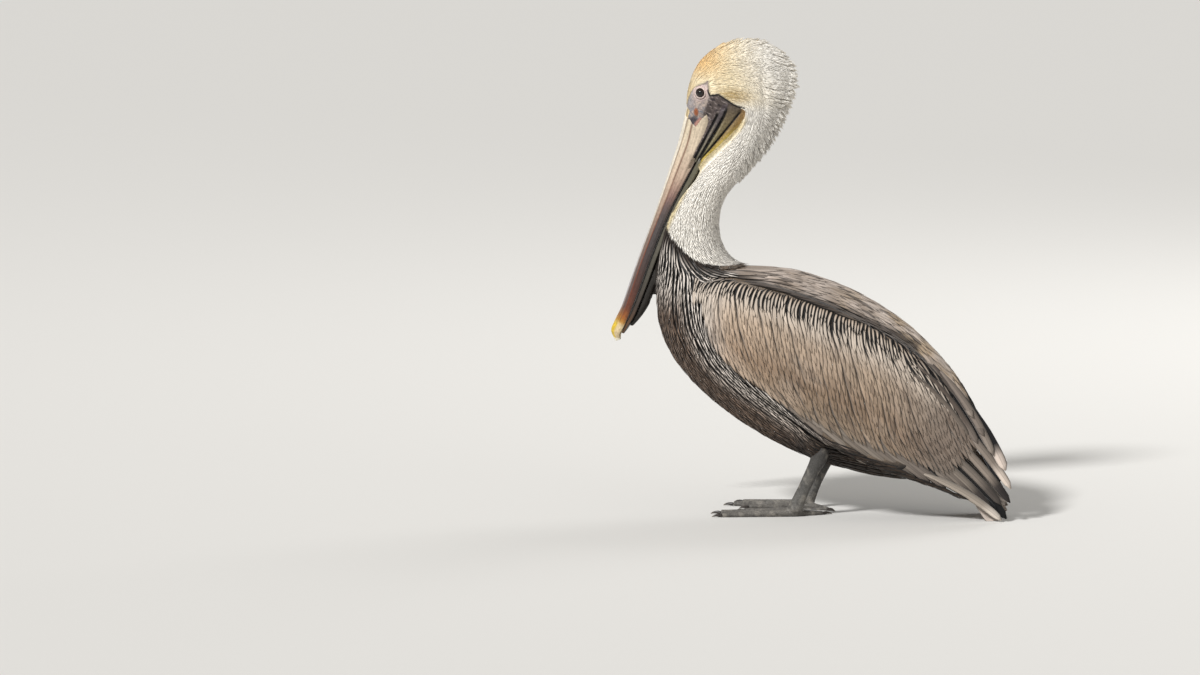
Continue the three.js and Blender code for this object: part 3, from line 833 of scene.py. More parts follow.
def face_colours(points):
    """The paint of the face: a mottled lore, pink lids, a dark cheek."""
    flat = side_view(points)
    x, z = flat.T
    ring = np.linalg.norm(flat - EYE, axis=1)
    # The lore, from the eye to the bill: mottled grey, pink round the eye, with an orange spot.
    bare = np.tile(linear("#8f8582"), (len(points), 1))
    bare = shade(bare, "#ab9c92", blend(-0.4, 0.6, ripple(points, 4.5, 8)))
    bare = shade(bare, "#7c7d84", blend(524, 512, z) * blend(0.5, -0.5, ripple(points, 6, 9)))
    corner = np.linalg.norm((flat - [-138, 501]) / [1.2, 0.8], axis=1)
    bare = shade(bare, "#3a353a", blend(11, 3, corner))
    bare = shade(bare, "#c9b4ae", blend(14, 9, ring) * (0.6 + 0.4 * blend(530, 545, z)))
    bare = shade(bare, "#878487", blend(-134, -140, x) * blend(516, 524, z) * 0.8)
    spot = np.linalg.norm((flat - [-132.3, 513]) / [3.2, 5.6], axis=1)
    bare = shade(bare, "#8f5230", blend(1.3, 0.55, spot))
    by_horn = gap(flat, HORN_EDGE[3:6])
    bare = shade(bare, "#a07468", blend(4.5, 1.5, by_horn) * blend(-137, -134, x))
    # The cheek behind it is darker, and narrows into the lower half of the bill.
    cheek = blend(-116.5, -112, x + 0.45 * (531 - z))
    bare = shade(bare, "#4e4441", cheek)
    bare = shade(bare, "#857a76", cheek * blend(0.35, 1.0, ripple(points, 3.2, 10)))
    bare = shade(bare, "#2b2426", cheek * blend(0.5, 1.2, -ripple(points, 4.0, 11)))
    lid_line = bell(ring, 8.1, 0.7) * blend(4, -5, z - EYE[1])
    bare = shade(bare, "#43322f", 0.85 * lid_line)
    bare = shade(bare, "#dccac1", 0.7 * bell(ring, 6.9, 0.8))
    return shade(bare, "#1d1614", blend(5.9, 5.3, ring))


# Strips of skin from the mouth back to the neck, coloured by height: grey, olive, ochre and yellow.
POUCH_STRIPS = [
    (MOUTH, [(440, "#66624f"), (470, "#57524a"), (500, "#4d4646"), (520, "#4d4446")]),
    (FOLDS[0], [(440, "#7d7749"), (470, "#716945"), (500, "#6a5d42"), (522, "#50453b")]),
    (FOLDS[1], [
        (444, "#4c442e"), (456, "#a18b3d"), (466, "#9d843f"), (490, "#957a44"), (515, "#917550"),
    ]),
]
# The legs by height, from the soles.
LEG_TONES = [(0, "#4d4a46"), (8, "#6f6b65"), (20, "#5c5a56"), (60, "#4a4845"), (90, "#33302d")]


def with_pouch_colours(bare, points):
    """Lays the pouch's strips over the face's paint, with painted shade and highlight at the folds, and
    dark edges.
    """
    flat = side_view(points)
    x, z = flat.T
    for line, tones in POUCH_STRIPS:
        reach = (from_line(flat, line)[0] > 0) & (z < 524) & (x > -200)
        bare = np.where(reach[:, None], along_scale(z, tones), bare)
    # Below the bill the pouch is its own dark colour, painted darker still as the shadow under the
    # lower bill.
    bare = shade(bare, "#24201c", blend(440, 420, z))
    for line, _, wide in FOLD_CUTS:
        away, share = from_line(flat, line)
        # A painted highlight on the skin just beside each fold.
        bare = shade(bare, "#b9ad90", 0.3 * bell(away, 3.4, 0.8) * blend(0.1, 0.3, share))
        # Each fold's crease is painted near black, as the shade inside it.
        crease = np.exp(-((away / (wide * 1.5)) ** 4))
        bare = shade(bare, "#050303", crease * blend(0, 0.08, share) * blend(444, 452, z))
    bare = shade(bare, "#0b0908", blend(3.0, 1.6, gap(flat, FACE_EDGE[9:])))
    bare = shade(bare, "#5b4a48", 0.7 * blend(1.5, 0.5, gap(flat, FACE_EDGE[4:10])))
    yellow = blend(3.6, 1.4, gap(flat, POUCH_EDGE)) * blend(500, 480, z) * blend(442, 456, z)
    return shade(bare, "#b8a04a", yellow)


def leg_colours(points):
    """The paint of the legs and webs: grey, paler at the ankles, worn in patches."""
    web = along_scale(points[:, 2], LEG_TONES)
    web = shade(web, "#8b857c", 0.5 * blend(0.1, 1.0, ripple(points, 12, 12)))
    return shade(web, "#393735", 0.5 * blend(0.1, 1.0, -ripple(points, 7, 13)))


def skin_colours(points, leg):
    """The paint of the bare skin, and under the feathers the plumage's tones, darkened as painted
    shade.
    """
    flat = side_view(points)
    bare = with_pouch_colours(face_colours(points), points)
    # Under the feathers the skin is painted darker as the shade they cast on it. Along the edge of the
    # bare face it is darker still, as a painted shadow line.
    under = np.where(is_neck(points), 0.8 + 0.1 * blend(4, 10, gap(flat, POUCH_EDGE)), 0.75)
    under = under * (0.5 + 0.5 * blend(1, 3.5, gap(flat, FACE_EDGE)))
    colour = np.where(bare_face(points)[:, None], bare, plumage_tone(points) * under[:, None])
    return np.where(leg[:, None], leg_colours(points), colour)


# ---- Plumage colours ----------------------------------------------------------------------------

def plumage_tone(points):
    """The general colour of the plumage at each place."""
    flat = side_view(points)
    x, z = flat.T
    neck = np.tile(linear("#fffaf1"), (len(points), 1))
    above = np.maximum(blend(512, 535, z), blend(-122, -132, x) * blend(490, 496, z))
    crown = blend(-22, -95, x + 0.35 * (z - 560)) * above
    neck = shade(neck, "#ffeec9", crown)
    neck = shade(neck, "#fbcf88", blend(-78, -128, x) * blend(548, 578, z) * 0.85)
    neck = shade(neck, "#dcc08a", 0.7 * blend(-130, -138, x) * blend(560, 540, z) * blend(490, 496, z))
    cheek = np.linalg.norm((flat - [-84, 535]) / [24, 10], axis=1)
    streaky = 0.4 + 0.6 * blend(-0.5, 0.5, ripple(points * [0.35, 1, 1.6], 5, 14))
    neck = shade(neck, "#b4924a", 0.75 * blend(1.5, 0.3, cheek) * streaky)
    pouch_gap = gap(flat, POUCH_EDGE)
    neck = shade(neck, "#e3cd8c", 0.75 * blend(9, 2, pouch_gap) * blend(515, 495, z))
    grey = blend(525, 470, z) * blend(-125, -70, x + 0.25 * (400 - z))
    neck = shade(neck, "#a39d96", 0.15 * grey)
    body = np.tile(linear("#7a6b5c"), (len(points), 1))
    body = shade(body, "#2f2620", is_front(points).astype(float))
    body = shade(body, "#1d1815", blend(84, 70, z) * blend(30, 60, x))
    return np.where(is_neck(points)[:, None], neck, body)


# ---- Regions of the body ------------------------------------------------------------------------

# Lower edge of the arc of streaked feathers along the top of the wing, then the wing's rear edge, the
# tips of its coverts over the flight feathers, and a line through the whole bird to unwrap it by.
ARC_EDGE = [
    (-121, 293), (-92, 283), (-60, 274), (-21, 262), (25, 242), (71, 223), (110, 206), (150, 183),
    (182, 158),
]
WING_REAR = [(185, 195), (212, 160), (236, 120), (258, 75), (274, 30), (272, 4)]
COVERT_TIPS = [
    (-55, 180), (4, 141), (64, 111), (100, 98), (132, 86), (166, 71), (203, 60), (218, 70), (240, 98),
]
BODY_AXIS = [
    (-128, 500), (-112, 540), (-75, 560), (-45, 530), (-60, 480), (-110, 430), (-145, 380), (-142, 330),
    (-90, 250), (0, 195), (100, 140), (200, 85), (272, 20),
]


WING_POINT = [(250, 12), (226, 28)]
# The line through the trunk that parts its back from its belly: x, then its height there.
BELLY_LINE = [-100, 0, 100, 180, 240], [306, 230, 160, 120, 60]
WING_INSIDE = 30  # the wings are further out than this
BACK_HALF = 44  # and the back's feathers cover what lies nearer the middle than this


def is_wing(points):
    outline = WING_TOP + WING_REAR + WING_POINT + WING_FRONT[::-1]
    return within(side_view(points), outline) & (np.abs(points[:, 1]) > WING_INSIDE)


def is_wing_cover(points):
    """The part of the wing that coverts cover, in front of the flight feathers."""
    return is_wing(points) & (from_line(side_view(points), COVERT_TIPS)[0] > 0)


def is_neck(points):
    return within(side_view(points), NECK_AREA)


def is_back(points):
    above = from_line(side_view(points), WING_TOP + WING_REAR)[0] > 0
    inner = np.abs(points[:, 1]) <= BACK_HALF
    high = points[:, 2] > np.interp(points[:, 0], *BELLY_LINE)
    return ~is_neck(points) & ~is_wing(points) & (points[:, 0] > -98) & (above | inner) & high


def is_front(points):
    """The breast, the belly and the thighs: the rest of the body but for the tail and the ankles."""
    rest = ~is_neck(points) & ~is_wing(points) & ~is_back(points) & (points[:, 0] < 215)
    return rest & ((points[:, 2] > 66) | ((points[:, 0] > 55) & (points[:, 2] > 36)))


def crest_height(points):
    """How far the crest stands off the rest of the plumage on the nape and the crown."""
    x, z = points[:, 0], points[:, 2]
    behind = x + 0.72 * np.clip(503 - z, 0, None)
    nape = blend(-52, -14, behind) * blend(398, 520, z)
    return 6.0 * nape + 4.0 * blend(578, 600, z) * blend(-120, -88, x) * (1 - nape)


def coat_depth(points):
    """How deep the plumage is, from the skin to the tips."""
    flat = side_view(points)
    z = points[:, 2]
    depth = np.interp(z, [300, 345, 400, 480, 510, 620], [3.4, 2.8, 2.0, 1.8, 1.4, 1.4])
    upper = is_wing(points) | (from_line(flat, WING_TOP)[0] > 0)
    depth = np.where(upper & (z < 318), 2.6, depth)
    depth = depth + crest_height(points)
    edge = np.minimum(gap(flat, FACE_EDGE), gap(flat, POUCH_EDGE))
    depth = np.where(z > HEAD_LOW, depth * (0.25 + 0.75 * blend(0, 9, edge)), depth)
    return depth * np.interp(z, [58, 90], [0.25, 1])


# ---- Vanes --------------------------------------------------------------------------------------

# Outlines of feathers: how wide they are at each share of their length.
POINTED = [(0, 0.35), (0.25, 0.9), (0.45, 1.0), (0.7, 0.8), (0.88, 0.42), (1, 0.06)]
SLENDER = [(0, 0.75), (0.3, 1.0), (0.6, 0.8), (0.85, 0.4), (1, 0.05)]


def unwrap(points):
    """Where the body's skin goes when it is opened out along its belly, from bill to tail."""
    away, share = from_line(side_view(points), BODY_AXIS)
    turn = np.arctan2(points[:, 1], away)
    return np.column_stack([0.02 + 0.96 * share, 0.5 + turn / (2 * math.pi) * 0.96])


PATCH = 0.003  # side of the square that each feather takes up in the bake


def vane_faces(stations, rows):
    """The faces of one feather, its bowed top, flat underside and two ends, and which are sharp."""
    def corner(station, row):
        return station * (rows + 1) + row

    faces, sharp = [], []
    for s in range(stations - 1):
        for a in range(rows):
            faces.append([corner(s, a), corner(s + 1, a), corner(s + 1, a + 1), corner(s, a + 1)])
        faces.append([corner(s, 0), corner(s, rows), corner(s + 1, rows), corner(s + 1, 0)])
        sharp += [False] * rows + [True]
    faces.append([corner(0, a) for a in range(rows + 1)])
    faces.append([corner(stations - 1, a) for a in range(rows, -1, -1)])
    return faces, sharp + [True, True]


def repeated(name, bodies, faces, sharp):
    """One mesh of many bodies, each with its own points and all with the same faces."""
    count, each = bodies.shape[:2]
    corners = np.array([corner for face in faces for corner in face])
    sizes = np.tile([len(face) for face in faces], count)
    mesh = bpy.data.meshes.new(name)
    mesh.vertices.add(count * each)
    mesh.vertices.foreach_set("co", metres(bodies.reshape(-1, 3)).astype(np.float32).ravel())
    mesh.loops.add(count * len(corners))
    used = np.arange(count)[:, None] * each + corners
    mesh.loops.foreach_set("vertex_index", used.astype(np.int32).ravel())
    mesh.polygons.add(len(sizes))
    mesh.polygons.foreach_set("loop_start", (np.cumsum(sizes) - sizes).astype(np.int32))
    mesh.update(calc_edges=True)
    flags = mesh.attributes.new("sharp_face", "BOOLEAN", "FACE")
    flags.data.foreach_set("value", np.tile(sharp, count))
    return mesh, corners


def vanes(name, lines, normals, half, outline, rows, vane, rim, edging, bow):
    """Solid feathers as one mesh: each is a bowed vane over its centre line, with a flat underside."""
    count, stations = lines.shape[:2]
    ahead = unit(np.gradient(lines, axis=1))
    side = unit(np.cross(normals, ahead))
    up = np.cross(ahead, side)
    t = np.linspace(0, 1, stations)
    places, shares = zip(*outline)
    wide = (np.asarray(half)[:, None] * np.interp(t, places, shares))[..., None]
    u = np.linspace(-1, 1, rows + 1)
    across = side[:, :, None] * (wide * u)[..., None]
    height = up[:, :, None] * (wide * bow * (1 - u * u))[..., None]
    points = lines[:, :, None] + across + height
    points[..., 2] = np.maximum(points[..., 2], 0.4)
    shape = points.shape[:3]
    mesh, corners = repeated(name, points.reshape(count, -1, 3), *vane_faces(stations, rows))

    along = t[None, :, None]
    length = np.linalg.norm(np.diff(lines, axis=1), axis=2).sum(1)
    shares = {
        "across": u, "spread": u * wide, "reach": along * length[:, None, None], "along": along,
        "edging": edging,
    }
    for label, values in shares.items():
        give(mesh, label, np.broadcast_to(values, shape).ravel())
    for label, colours in (("vane", vane), ("rim", rim)):
        if colours.ndim == 3:
            colours = np.repeat(colours[:, :, None], rows + 1, axis=2)
        give(mesh, label, colours.reshape(-1, 3))
    patch = np.stack([np.broadcast_to(0.5 * u, shape), np.broadcast_to(along - 0.5, shape)], axis=-1)
    spots = unwrap(lines[:, 0])[:, None] + patch.reshape(count, -1, 2) * PATCH
    layer = mesh.uv_layers.new(name="OFBake")
    layer.data.foreach_set("uv", spots[:, corners].astype(np.float32).ravel())
    return mesh


def rooted(lanes, step, pitch, length, ends):
    """How far along its lane each feather starts, the lane's first place, and whether it is cut short.

    With ends, they are set out from the far end of each lane, and two short ones cover its beginning.
    """
    starts, base, early, total = [], [], [], 0
    for line, _, inside in lanes:
        room = (inside - 1) * step
        if ends:
            first = (room - length) % pitch if room > length else 0
            places = np.append([0, first / 2], np.arange(first, max(room - length, 0) + 0.01, pitch))
            places[1] += pitch * rng.uniform(-0.3, 0.3)
        else:
            places = np.arange(rng.random() * pitch, room, pitch)
        starts.append(places + rng.normal(0, 0.08 * pitch, len(places)) * (not ends))
        base.append(np.full(len(places), total))
        early.append(np.arange(len(places)) < 2 * ends)
        total += len(line)
    return np.maximum(np.concatenate(starts), 0), np.concatenate(base), np.concatenate(early)


def feathers(lanes, step, pitch, length, stations, proud, stray, ends=False):
    """Centre lines of feathers that overlap along the lanes, each from the skin up to the surface."""
    starts, base, early = rooted(lanes, step, pitch, length, ends)
    points = np.concatenate([line for line, _, _ in lanes])
    normals = np.concatenate([normal for _, normal, _ in lanes])
    if ends:
        lengths = np.full(len(starts), length)
    else:
        lengths = length * rng.uniform(0.85, 1.12, len(starts))
    lengths = np.where(early, length * rng.uniform(0.3, 0.85, len(starts)), lengths)
    t = np.linspace(0, 1, stations)
    place = (starts[:, None] + lengths[:, None] * t) / step + base[:, None]
    place = np.clip(place, 0, len(points) - 1.001)
    k = place.astype(int)
    share = (place - k)[..., None]
    lines = points[k] * (1 - share) + points[k + 1] * share
    out = unit(normals[k] * (1 - share) + normals[k + 1] * share)
    thick = guide.thickness(lines[:, 0], out[:, 0])
    root = np.minimum(coat_depth(lines[:, 0]), 0.35 * thick) + rng.uniform(-0.25, 0.25, len(lines))
    tips = proud * rng.uniform(-0.6, 1.3, len(lines)) - 0.5 * crest_height(lines[:, -1])
    lift = -root[:, None] * (1 - t) ** 1.1 + tips[:, None] * t
    side = np.cross(out, unit(np.gradient(lines, axis=1)))
    bend = (rng.normal(0, stray, len(lines))[:, None] * lengths[:, None] * t**1.5)[..., None]
    return lines + out * lift[..., None] + side * bend, out


def toned(lines, tones):
    """The vane's, rim's and edging's values at each station of each feather."""
    return [values.reshape(*lines.shape[:2], -1) for values in tones(lines)]


def comb(name, zone, lie, tones, material, slot, spacing, pitch, length, width, outline, rows, stations,
         step, bow, **how):
    """One coat of feathers over a zone, as two pieces, for the left and the right of the body.

    Spacing and pitch part the roots across and along the lie. Rows and stations count the vane's facets
    across and places along, step is that of the lanes, proud how far tips stand out, stray how far they
    turn aside by their length.
    """
    lanes = guide.lanes(zone, lie, spacing, length * 1.15 + 2, step)
    lines, normals = feathers(lanes, step, pitch, length, stations, **how)
    half = width / 2 * rng.uniform(0.85, 1.15, len(lines))
    vane, rim, edging = toned(lines, tones)
    for side, chosen in {"left": lines[:, 0, 1] < 0, "right": lines[:, 0, 1] >= 0}.items():
        mesh = vanes(
            f"{name}_{side}", lines[chosen], normals[chosen], half[chosen], outline, rows,
            vane[chosen], rim[chosen], edging[chosen], bow,
        )
        piece(f"{name}_{side}", mesh, material)


def cut_back(start, way, reach, limit, under):
    """The tips of plumes, drawn back in three goes towards their limit above the surface."""
    for _ in range(3):
        tips = start + way * reach
        on, out = guide.nearest(tips)
        high = ((tips - on) * out).sum(1, keepdims=True)
        reach = np.where(high > limit, reach * ((limit + under) / (high + under)) ** 0.7, reach)
    return start + way * reach


def in_locks(roots, tips, leader, middle):
    """Draws the tips of plumes together towards that of the nearest leader."""
    heads = np.flatnonzero(leader)
    mine = heads[((roots[:, None] - roots[None, heads]) ** 2).sum(-1).argmin(1)]
    near = blend(9, 5, np.linalg.norm(roots - roots[mine], axis=1))[:, None]
    pull = (0.35 + 0.4 * middle) * rng.uniform(0.5, 1, (len(roots), 1)) * near
    return tips * (1 - pull) + tips[mine] * pull


def crest(name, zone, lie, tones, material, spacing, length, width, stations):
    """Plumes over the nape and crown, drawn together in pointed locks that run on past the outline."""
    lanes = guide.lanes(zone, lie, spacing, 2, 1.5)
    roots = np.concatenate([line[:inside:2] for line, _, inside in lanes])
    normals = np.concatenate([out[:inside:2] for _, out, inside in lanes])
    middle = blend(0.8, 0.4, np.abs(normals[:, 1:2]))
    way = laid(combed(roots, lie), normals, 0.8 - 0.7 * middle)
    way = unit(way + 0.12 * middle * normals + rng.normal(0, 0.03, roots.shape))
    height = crest_height(roots)[:, None]
    under = 0.6 * height + 0.5
    start = roots - normals * under
    leader = rng.random(len(roots)) < 0.1
    far = 1.0 + middle * rng.uniform(5, 8.5, (len(roots), 1)) * np.clip(height / 3.5, 0.15, 1)
    limit = np.where(leader[:, None], far, 0.2 + 4.0 * middle * rng.random((len(roots), 1)))
    reach = length * (0.55 + height / 14) * rng.uniform(0.8, 1.1, (len(roots), 1))
    tips = in_locks(roots, cut_back(start, way, reach, limit, under), leader, middle)
    t = np.linspace(0, 1, stations)[None, :, None]
    sag = -normals * 0.5 * np.minimum(under, 2)
    lines = start[:, None] * (1 - t) + tips[:, None] * t + sag[:, None] * t * (1 - t)
    turned = unit(normals + np.sign(roots[:, 1:2]) * [0, 0.7, 0])
    turned = np.repeat(turned[:, None], stations, axis=1)
    half = width / 2 * rng.uniform(0.8, 1.2, len(lines))
    mesh = vanes(name, lines, turned, half, SLENDER, 2, *toned(lines, tones), 0.1)
    piece(name, mesh, material)


# ---- Colours of the coats -----------------------------------------------------------------------

def each_feather(lines, spread, seed):
    """A factor for each feather, so that it is a little lighter or darker than the rest."""
    dice = np.random.default_rng(seed)
    return np.repeat(np.exp(dice.normal(0, spread, len(lines))), lines.shape[1])[:, None]


def chosen_feathers(lines, share, seed):
    dice = np.random.default_rng(seed)
    return np.repeat(dice.random(len(lines)) < share, lines.shape[1])


def head_tones(lines):
    """White to cream and gold, with grey flecks down the hind neck."""
    points = lines.reshape(-1, 3)
    t = np.tile(np.linspace(0, 1, lines.shape[1]), len(lines))[:, None]
    # Each feather is painted a little darker towards its root, as painted shade where the feathers
    # above cover it.
    vane = plumage_tone(points) * each_feather(lines, 0.04, 31) * (0.92 + 0.08 * t**0.6)
    x, _, z = points.T
    rear = blend(-125, -85, x + 0.25 * (400 - z)) * blend(528, 490, z)
    patchy = 0.35 + 0.65 * blend(-0.3, 0.5, ripple(points, 14, 5))
    speck = chosen_feathers(lines, 0.3, 30) * rear * patchy
    vane = shade(vane, "#8c857d", 0.55 * speck)
    return vane, vane * 0.97, np.full(len(points), 0.3)


def front_tones(lines):
    """Silver streaks with black edges near the wings and shoulders, brown on the breast and belly."""
    points = lines.reshape(-1, 3)
    x, z = side_view(points).T
    from_wing = -from_line(side_view(points), WING_FRONT)[0]
    silver = np.maximum(blend(40, 8, from_wing), blend(250, 305, z)) * blend(70, 150, z)
    vane = shade(np.tile(linear("#5f4e41"), (len(points), 1)), "#d8cec4", silver)
    rim = shade(np.tile(linear("#221914"), (len(points), 1)), "#0b0908", silver)
    low = blend(118, 84, z) * blend(-50, 10, x)
    border = gap(side_view(points), NECK_EDGE)
    brown = blend(17, 5, border) * (x < -88) + blend(6, 2, border) * (x >= -88)
    vane = shade(shade(vane, "#33281f", low), "#30251e", brown)
    rim = shade(shade(rim, "#15100d", low), "#17110d", brown)
    even, uneven = each_feather(lines, 0.12, 32), each_feather(lines, 0.32, 32)
    bright = np.where(silver[:, None] > 0.5, even, uneven)
    return vane * bright, rim * each_feather(lines, 0.1, 33), 0.5 + 0.22 * silver


def back_tones(lines):
    """Pale grey feathers with darker edges, and painted shadow where they meet the wing."""
    points = lines.reshape(-1, 3)
    flat = side_view(points)
    vane = np.tile(linear("#a8988a"), (len(points), 1))
    vane = shade(vane, "#c8b9ad", 0.5 + 0.5 * np.clip(ripple(points, 26, 6), -1, 1))
    straw = blend(40, 100, flat[:, 0]) * blend(0, 0.8, ripple(points, 40, 16))
    vane = shade(vane, "#b39b7c", 0.7 * straw)
    vane = shade(vane, "#3c322c", 0.7 * chosen_feathers(lines, 0.08, 34))
    rim = vane * 0.5
    # Painted shadow where the back meets the top of the wing: darker vanes and rims there, with wider
    # edging.
    edge = gap(flat, WING_TOP)
    vane = shade(vane, "#2f2723", 0.85 * blend(6, 1.5, edge))
    rim = shade(rim, "#120e0c", 0.95 * blend(12, 3, edge))
    vane = vane * (0.78 + 0.2 * blend(90, 170, flat[:, 0]))[:, None] * each_feather(lines, 0.12, 35)
    return vane, rim * each_feather(lines, 0.1, 36), 0.12 + 0.3 * blend(22, 5, edge)


# The wing's general colour by how far below the arc of streaked feathers along its top.
WING_TONES = [(-10, "#b7a491"), (25, "#b19c87"), (60, "#927b66"), (85, "#937f6b"), (120, "#9b8c7c")]


def wing_tones(lines):
    """Pale streaks with black edges along the top, and brown coverts with pale tips below them."""
    points = lines.reshape(-1, 3)
    flat = side_view(points)
    top = gap(flat, WING_TOP + WING_REAR[:2])
    below = -from_line(flat, ARC_EDGE)[0]
    shoulder = blend(-98, -112, flat[:, 0]) * blend(215, 245, flat[:, 1])
    streak = np.maximum(blend(20, -12, below), shoulder)
    vane = along_scale(below, WING_TONES)
    vane = shade(vane, "#b19d8a", 0.6 * blend(0.2, 1.0, ripple(points, 45, 7)))
    vane = shade(vane, "#7f736a", 0.75 * blend(110, 200, flat[:, 0]))
    vane = shade(vane, "#b5aba1", 0.8 * blend(-70, -110, flat[:, 0]))
    vane = shade(vane, "#6a5a4e", 0.5 * chosen_feathers(lines, 0.08, 37) * (1 - streak))
    tips = gap(flat, COVERT_TIPS)
    pale = blend(16, 6, tips) * (1 - streak)
    rim = shade(shade(vane * 0.7, "#0d0a09", streak), "#cabfb1", pale)
    vane = shade(vane, "#bdb0a2", streak * blend(3, 14, top))
    # Painted shadow along the wing's top edge, where the back's feathers overhang it.
    vane = shade(vane, "#4a413b", 0.8 * blend(8, 1, top))
    edging = 0.1 + streak * (0.14 + 0.5 * blend(42, 14, top))
    vane = vane * (1 - 0.2 * blend(-60, 20, flat[:, 0]) * (1 - streak))[:, None]
    return vane * each_feather(lines, 0.09, 38), rim * each_feather(lines, 0.12, 39), edging


# ---- Long feathers ------------------------------------------------------------------------------

# Root and tip in side view, half width, how far under the wing's surface, vane, rim and tip colours.
WING_QUILLS = [
    ((-35, 172), (52, 93), 5.5, 3.4, "#857b71", "#bdb3a8", "#857b71"),
    ((-20, 160), (76, 83), 5.5, 3.2, "#776d64", "#b6aca1", "#776d64"),
    ((-10, 158), (99, 74), 5.5, 3.1, "#857b71", "#c2b8ad", "#857b71"),
    ((10, 152), (121, 66), 5.5, 3.0, "#7a7066", "#b8aea3", "#7a7066"),
    ((25, 146), (141, 60), 5.5, 2.8, "#82786e", "#c0b6ab", "#82786e"),
    ((45, 138), (161, 54), 5.5, 2.7, "#756b62", "#b3a99e", "#756b62"),
    ((62, 130), (180, 48), 5.5, 2.5, "#7e746b", "#bbb1a6", "#736961"),
    ((80, 122), (199, 42), 5.5, 2.4, "#776d65", "#b5aba0", "#6f655d"),
    ((172, 62), (268, 2.5), 5.5, 1.5, "#a1968a", "#ddd3c8", "#d3c8bc"),
    ((150, 84), (262, 12), 7, 3.0, "#1d1b1b", "#2f2c2b", "#0e0e10"),
    ((150, 118), (274, 4), 7.5, 4.6, "#1d1b1b", "#2f2c2b", "#0e0e10"),
    ((110, 118), (224, 33), 5.6, 2.8, "#7d736a", "#ada398", "#5f5750"),
    ((122, 121), (242, 24), 5.6, 2.5, "#776d64", "#a59b90", "#4f4842"),
    ((134, 124), (255, 17), 5.6, 2.2, "#80766c", "#b0a69b", "#3b3532"),
    ((150, 132), (268, 22), 5.4, 1.9, "#7a7067", "#aaa095", "#4b443f"),
    ((168, 142), (279, 25), 5.4, 1.6, "#8b7f74", "#baafa4", "#2a2524"),
    ((185, 152), (280, 43), 5.6, 1.3, "#82776d", "#b4a99e", "#cdbfb2"),
    ((196, 160), (266, 52), 7, 3.6, "#17171a", "#29282a", "#141417"),
    ((196, 168), (260, 70), 7, 3.2, "#141417", "#242326", "#141417"),
    ((200, 176), (273, 66), 7, 2.8, "#19181a", "#39363a", "#d3c4b8"),
    ((150, 192), (226, 108), 5, 0.8, "#74695f", "#b3a89d", "#74695f"),
    ((160, 200), (238, 100), 5, 0.5, "#5f544c", "#b8aea3", "#6f655d"),
    ((160, 208), (232, 134), 5, 0.2, "#857a70", "#c0b6ab", "#857a70"),
    ((172, 200), (246, 110), 5, 0.0, "#54493f", "#bfb4a9", "#6f655d"),
    ((180, 200), (254, 92), 5, -0.3, "#4f4640", "#bfb4a9", "#6f655d"),
    ((190, 192), (258, 86), 5, -0.6, "#7c7168", "#c6bbb0", "#8a7f75"),
]
QUILL = [(0, 0.3), (0.15, 0.8), (0.5, 1.0), (0.85, 0.95), (0.93, 0.8), (0.975, 0.5), (1, 0.12)]
QUILL_ROWS = 6
QUILL_BOW = 5.25  # how far the middle of a wing quill lies off the straight line
INNER_WING = 42  # how near the middle of the body the flight feathers may lie
FAR_SHIFT = 22  # the right wing's outer feathers lie this much further forward than the left's
# The middle of the tail, x and z, with its half width and how much lower its sides lie.
TAIL_LINE = [
    (150, 128, 22, 8), (196, 96, 30, 18), (232, 64, 35, 28), (256, 40, 37, 37), (270, 25, 31, 22),
]
TAIL_FEATHERS = 6  # on each side
TAIL_HALF = 8.5


def quill_line(root, tip, deep, side, t):
    """The centre line and normals of a flight feather: under the wing's surface, then beyond it."""
    root, tip = np.array(root, float), np.array(tip, float)
    across = np.array([tip[1] - root[1], root[0] - tip[0]]) / np.linalg.norm(tip - root)
    bowed = root + (tip - root) * t[:, None] - across * (4 * t * (1 - t) * QUILL_BOW)[:, None]
    if side > 0 and root[0] > 100:
        bowed[:, 0] -= FAR_SHIFT
    on, normal = guide.on_side(bowed, side)
    wing = np.abs(on[:, 1])
    sheet = np.polyval(np.polyfit(t, wing, 2), t)
    out = np.where(t < 0.6, np.minimum(sheet, wing), sheet)
    out = np.maximum(out, INNER_WING) - deep
    line = np.column_stack([bowed[:, 0], side * out, bowed[:, 1]])
    return line, unit(normal * 0.35 + [0, side, 0])


def make_wing_quills(material):
    """The flight feathers of both folded wings, grey with pale edges and black towards the tips."""
    t = np.linspace(0, 1, 16) ** 0.8
    to_end = blend(0.72, 0.86, t)[:, None]
    for name, side in (("left", -1), ("right", 1)):
        lines, facing, half, vane, rim = [], [], [], [], []
        for root, tip, wide, deep, tone, edge, end in WING_QUILLS:
            line, normal = quill_line(root, tip, deep, side, t)
            lines.append(line)
            facing.append(normal)
            half.append(wide)
            vane.append(linear(tone) * (1 - to_end) + linear(end) * to_end)
            rim.append(linear(edge) * (1 - to_end) + 0.5 * (linear(edge) + linear(end)) * to_end)
        lines, facing, half, vane, rim = (np.array(part) for part in (lines, facing, half, vane, rim))
        # Each is painted darker along the edge that lies under the next, as the shade that feather
        # casts on it.
        across = np.linspace(-1, 1, QUILL_ROWS + 1)[:, None] * side
        vane = vane[:, :, None] * (0.5 + 0.5 * blend(-0.95, 0.35, across))
        mesh = vanes(f"quills_{name}", lines, facing, half, QUILL, QUILL_ROWS, vane, rim, 0.02, 0.14)
        piece(f"quills_{name}", mesh, material, [f"primaries_{name}"])


